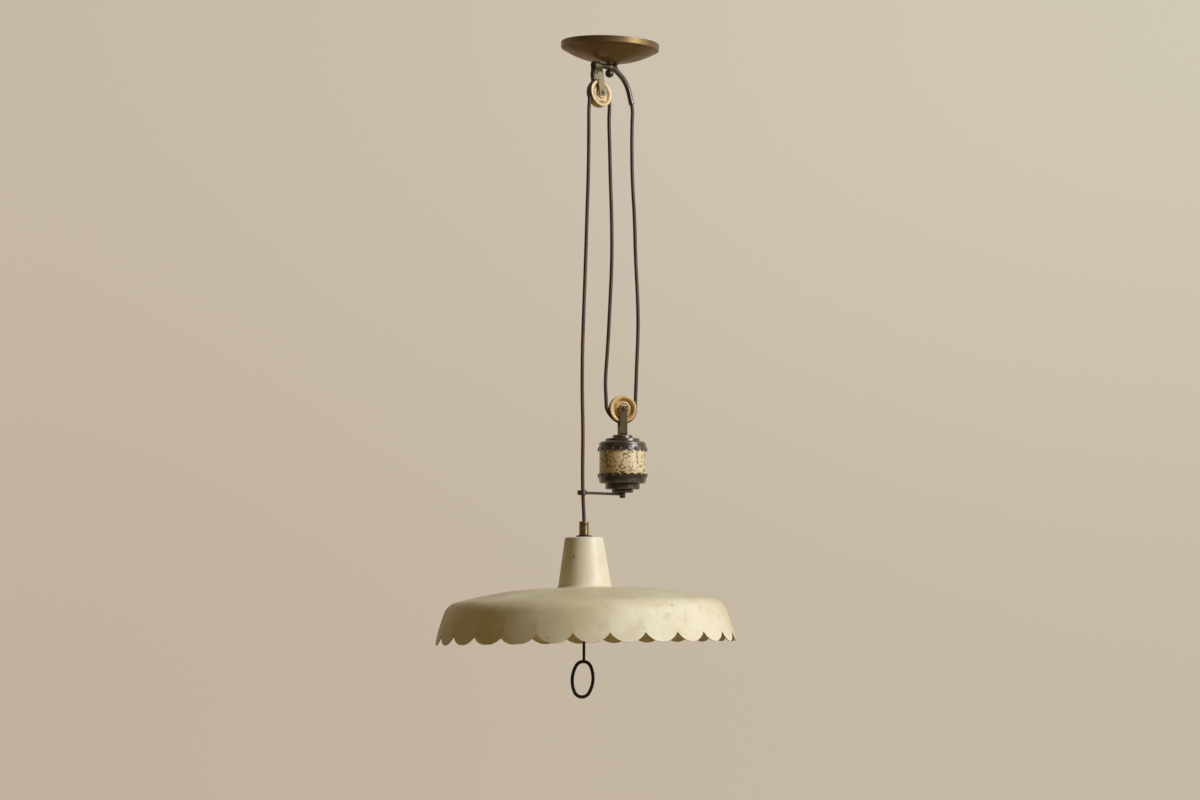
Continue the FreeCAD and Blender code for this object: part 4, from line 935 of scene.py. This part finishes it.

# %% [markdown]
# ## The painted and moulded finishes
# The shade's cream paint has yellowed in broad clouds, with darker patches, stains and small chips.
# The pulleys' ivory is brown in the hollows, partly grime and partly painted shade, and the drum
# carries scattered dark flecks: short broken strokes in clumps, and dots.

# %% Cream paint of the shade
cream_paint, tree, shader = new_material(
    "cream_paint", Roughness=0.42, Coat_Weight=0.2, Coat_Roughness=0.42)
broad = use_group(tree, mottle, Scale=9.0, Low=0.35, High=0.68)["Mask"]
patches = use_group(tree, mottle, Scale=21.0, Low=0.44, High=0.74, Detail=6.0)["Mask"]
stains = use_group(tree, mottle, Scale=38.0, Low=0.58, High=0.76, Detail=8.0)["Mask"]
spots = use_group(tree, specks, Scale=110.0, Size=0.22, Share=0.16)["Mask"]
tint = blend_colours(tree, broad, colour(219, 209, 172), colour(236, 227, 200))
for mask, share, tone in (
        (patches, 0.4, colour(200, 186, 138)), (stains, 0.45, colour(160, 140, 92)),
        (spots, 0.6, colour(92, 74, 50))):
    tint = blend_colours(tree, maths(tree, "MULTIPLY", mask, share), tint, tone)
fill(tree, shader, Base_Color=tint, Roughness=ramp(tree, broad, 0.0, 1.0, 0.6, 0.46))
peel = use_group(tree, mottle, Scale=520.0, Low=0.3, High=0.7, Detail=2.0)["Mask"]
bump_into(tree, shader, peel, 0.02 * MM)
print("paint:", cream_paint.name)


# %% Ivory of the pulleys
def plastic(name, dark, light):
    """Old moulded plastic, browned in its hollows by grime and painted shade, rubbed pale on its
    edges.
    """
    made, tree, shader = new_material(
        name, Roughness=0.28, Coat_Weight=0.3, Subsurface_Weight=0.08,
        Subsurface_Radius=(4 * MM, 2 * MM, 1 * MM))
    clouds = use_group(tree, mottle, Scale=60.0, Low=0.3, High=0.72)["Mask"]
    worn = use_group(tree, wear_and_shade, Scale=110.0)
    tint = blend_colours(tree, clouds, dark, light)
    # The brown in the hollows is partly grime and partly painted shade.
    for mask, share, tone in (
            (worn["GrimeAndShade"], 0.75, colour(112, 76, 34)),
            (worn["Rubbed"], 0.3, colour(238, 218, 172))):
        tint = blend_colours(tree, maths(tree, "MULTIPLY", mask, share), tint, tone)
    fill(tree, shader, Base_Color=tint)
    return made


pale_ivory = plastic("pale_ivory", colour(216, 188, 140), colour(236, 214, 170))
brown_ivory = plastic("brown_ivory", colour(212, 176, 114), colour(234, 204, 146))
print("plastics:", pale_ivory.name, brown_ivory.name)

# %% Cream drum with scattered dark flecks
cream_flecks, tree, shader = new_material(
    "cream_flecks", Roughness=0.4, Coat_Weight=0.4, Coat_Roughness=0.25)
place = add(tree, "ShaderNodeTexCoord").outputs["Object"]
bend = fill(tree, add(tree, "ShaderNodeTexNoise"), Vector=place, Scale=95.0)
bent = add(tree, "ShaderNodeVectorMath", operation="MULTIPLY_ADD")
bend_by = (7 * MM, 7 * MM, 7 * MM)
for socket, value in zip(bent.inputs, (bend.outputs["Color"], bend_by, place)):
    feed(tree, socket, value)
twigs = add(tree, "ShaderNodeTexVoronoi", feature="DISTANCE_TO_EDGE")
fill(tree, twigs, Vector=bent.outputs[0], Scale=96.0)
stroke = ramp(tree, twigs.outputs["Distance"], 0.06, 0.1, 1.0, 0.0)
broken = use_group(tree, mottle, Scale=165.0, Low=0.48, High=0.53, Detail=2.0)["Mask"]
clumps = use_group(tree, mottle, Scale=34.0, Low=0.4, High=0.5, Detail=2.0)["Mask"]
marks = maths(tree, "MULTIPLY", maths(tree, "MULTIPLY", stroke, broken), clumps)
spots = use_group(tree, specks, Scale=290.0, Size=0.42, Share=0.36)["Mask"]
spots = maths(tree, "MULTIPLY", spots, ramp(tree, clumps, 0.0, 1.0, 0.3, 1.0))
marks = maths(tree, "MULTIPLY", maths(tree, "MAXIMUM", marks, spots), 0.92)
broad = use_group(tree, mottle, Scale=30.0, Low=0.3, High=0.7)["Mask"]
tint = blend_colours(tree, broad, colour(206, 178, 122), colour(234, 216, 174))
fill(tree, shader, Base_Color=blend_colours(tree, marks, tint, colour(40, 32, 28)))
print("drum:", cream_flecks.name)

# %% Braided cover of the flex
flex_cover, tree, shader = new_material("flex_cover", Roughness=0.46)
weave = use_group(tree, braid, Strands=8.0, Pitch=12 * MM)["Height"]
clouds = use_group(tree, mottle, Scale=30.0, Low=0.3, High=0.7)["Mask"]
tint = blend_colours(tree, clouds, colour(72, 42, 33), colour(94, 59, 47))
# Darker in the troughs of the braid: painted shade between the strands.
braid_gap_shade = ramp(tree, weave, -1.0, 1.0, 0.2, 0.0)
fill(tree, shader, Base_Color=blend_colours(tree, braid_gap_shade, tint, colour(30, 17, 13)))
bump_into(tree, shader, weave, 0.05 * MM)
print("flex:", flex_cover.name)


# %% Rubber, porcelain and opal glass
def clouded(name, dark, light, scale, **values):
    """A plain finish that varies a little between two tones."""
    made, tree, shader = new_material(name, **values)
    clouds = use_group(tree, mottle, Scale=scale, Low=0.3, High=0.7)["Mask"]
    fill(tree, shader, Base_Color=blend_colours(tree, clouds, dark, light))
    return made


black_rubber = clouded(
    "black_rubber", colour(22, 21, 20), colour(40, 38, 36), 80.0, Roughness=0.6)
porcelain = clouded(
    "porcelain", colour(226, 222, 210), colour(240, 237, 228), 50.0, Roughness=0.18,
    Coat_Weight=0.5)
opal_glass = clouded(
    "opal_glass", colour(236, 231, 218), colour(246, 243, 234), 25.0, Roughness=0.16,
    Coat_Weight=0.4, Subsurface_Weight=0.3, Subsurface_Radius=(10 * MM, 9 * MM, 7 * MM))
print("others:", black_rubber.name, porcelain.name, opal_glass.name)

# %% Give every piece its finish
finishes = {
    fork_metal: ("ceiling_fork", "fork_rivet"),
    gun_metal: ("guide_arm",),
    dark_bronze: ("ball_finial", "weight_nut"),
    fork_brown: ("weight_fork",),
    iron_black: ("pull_ring", "pull_rod", "weight_core"),
    brass: ("canopy_washer", "stem_collar", "cluster_body", "cluster_lid", "ceiling_bush",
            "weight_bush", "bulb_holder_1", "bulb_holder_2", "bulb_holder_3"),
    zinc: ("mounting_strap", "stem", "stem_nuts", "lock_nut", "weight_rod", "weight_rod_nut",
           "pull_rod_nut", "block_screw", "centre_pipe", "bulb_cap_1", "bulb_cap_2", "bulb_cap_3"),
    black_rubber: ("cord_bush", "end_plug", "grip_washer"),
    porcelain: ("terminal_block", "holder_insert_1", "holder_insert_2", "holder_insert_3"),
    cream_flecks: ("weight_sleeve",),
    opal_glass: ("bulb_glass_1", "bulb_glass_2", "bulb_glass_3"),
}
for finish, names in finishes.items():
    for name in names:
        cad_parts[name].data.materials.clear()
        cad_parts[name].data.materials.append(finish)
for finish, pieces in (
        (flex_cover, flex_pieces), (pale_ivory, wheels[:1]), (brown_ivory, wheels[1:]),
        (bronze_plate, [plate]), (brass, [grip]), (gun_metal, [arm]), (iron_black, axles),
        (dark_bronze, caps)):
    for piece in pieces:
        piece.data.materials.append(finish)
shade.data.materials[0] = cream_paint
shade.data.materials[1] = bare_edge
print("solids with a finish:", sum(len(names) for names in finishes.values()))

# %% [markdown]
# ## Floor, background and light
# The lamp hangs in front of a warm pale wall, painted lighter towards the right and the top as the
# window's light falls on it. The world shows that wall to the camera, and in reflections too, where
# it is darker on the viewer's side; otherwise it lights the lamp evenly and weakly. A tall window on
# the right makes the strong side light, a weak lamp in front on the left opens the shadows, and a
# pale floor far below, which the camera doesn't see, throws some light up.

# %% Floor
deselect()
bpy.ops.mesh.primitive_plane_add(size=7.0, location=(0, 0, -2.4))
floor = bpy.context.object
floor.name = "floor"
floor_paint, tree, shader = new_material(
    "floor_paint", Roughness=0.8, Base_Color=colour(208, 184, 136))
floor.data.materials.append(floor_paint)
floor.visible_camera = False
floor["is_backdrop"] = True
print("floor at %.1f m" % floor.location.z)

# %% World
world = bpy.data.worlds.new("room")
bpy.context.scene.world = world
world.use_nodes = True
tree = world.node_tree
tree.nodes.clear()
out = add(tree, "ShaderNodeOutputWorld")
way = add(tree, "ShaderNodeTexCoord").outputs["Generated"]
way = fill(tree, add(tree, "ShaderNodeSeparateXYZ"), Vector=way).outputs
# The wall grows lighter to the right and upward: painted light of the window falling on it, over its
# own warm pale colour.
sideways = ramp(tree, way["X"], -0.17, 0.17)
upward = ramp(tree, way["Z"], -0.02, 0.17)
low_wall = blend_colours(tree, sideways, colour(193, 178, 159), colour(198, 186, 166))
high_wall = blend_colours(tree, sideways, colour(199, 185, 167), colour(209, 201, 181))
wall_colour_and_light = blend_colours(tree, upward, low_wall, high_wall)
path = add(tree, "ShaderNodeLightPath").outputs
seen = maths(tree, "MAXIMUM", path["Is Camera Ray"], path["Is Transmission Ray"])
strength = maths(tree, "MAXIMUM", seen, ramp(tree, way["Y"], -0.5, 0.8, 0.16, 1.0))
wall_light = fill(tree, add(tree, "ShaderNodeBackground"), Color=wall_colour_and_light, Strength=strength)
soft_light = add(tree, "ShaderNodeBackground")
fill(tree, soft_light, Color=colour(234, 194, 108), Strength=0.13)
seen = maths(tree, "MAXIMUM", seen, path["Is Glossy Ray"])
mix = add(tree, "ShaderNodeMixShader")
for socket, value in zip(mix.inputs, (seen, soft_light.outputs[0], wall_light.outputs[0])):
    feed(tree, socket, value)
fill(tree, out, Surface=mix.outputs[0])
print("world nodes:", len(tree.nodes))


# %% Lamps
def area_light(name, place, target, width, height, watts, tint):
    aim = (Vector(target) - Vector(place)).to_track_quat("-Z", "Y").to_euler()
    bpy.ops.object.light_add(type="AREA", location=place, rotation=aim)
    light = bpy.context.object
    light.name = name
    light.data.shape = "RECTANGLE"
    light.data.size = width
    light.data.size_y = height
    light.data.energy = watts
    light.data.color = tint
    print(name, "%.0f W" % watts)


area_light("window", (2.68, -1.5, 0.75), (0, 0, -0.7), 1.1, 1.9, 122.0, (0.95, 0.96, 1.0))
area_light("front_fill", (-2.4, -3.6, -0.2), (0, 0, -0.6), 2.0, 2.0, 3.0, (1.0, 0.8, 0.4))

# %% Render settings
scene = bpy.context.scene
scene.view_settings.view_transform = "Standard"

# %% Sizes and the end
low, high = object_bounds()
print("visual reach", [round(v, 3) for v in low], [round(v, 3) for v in high])
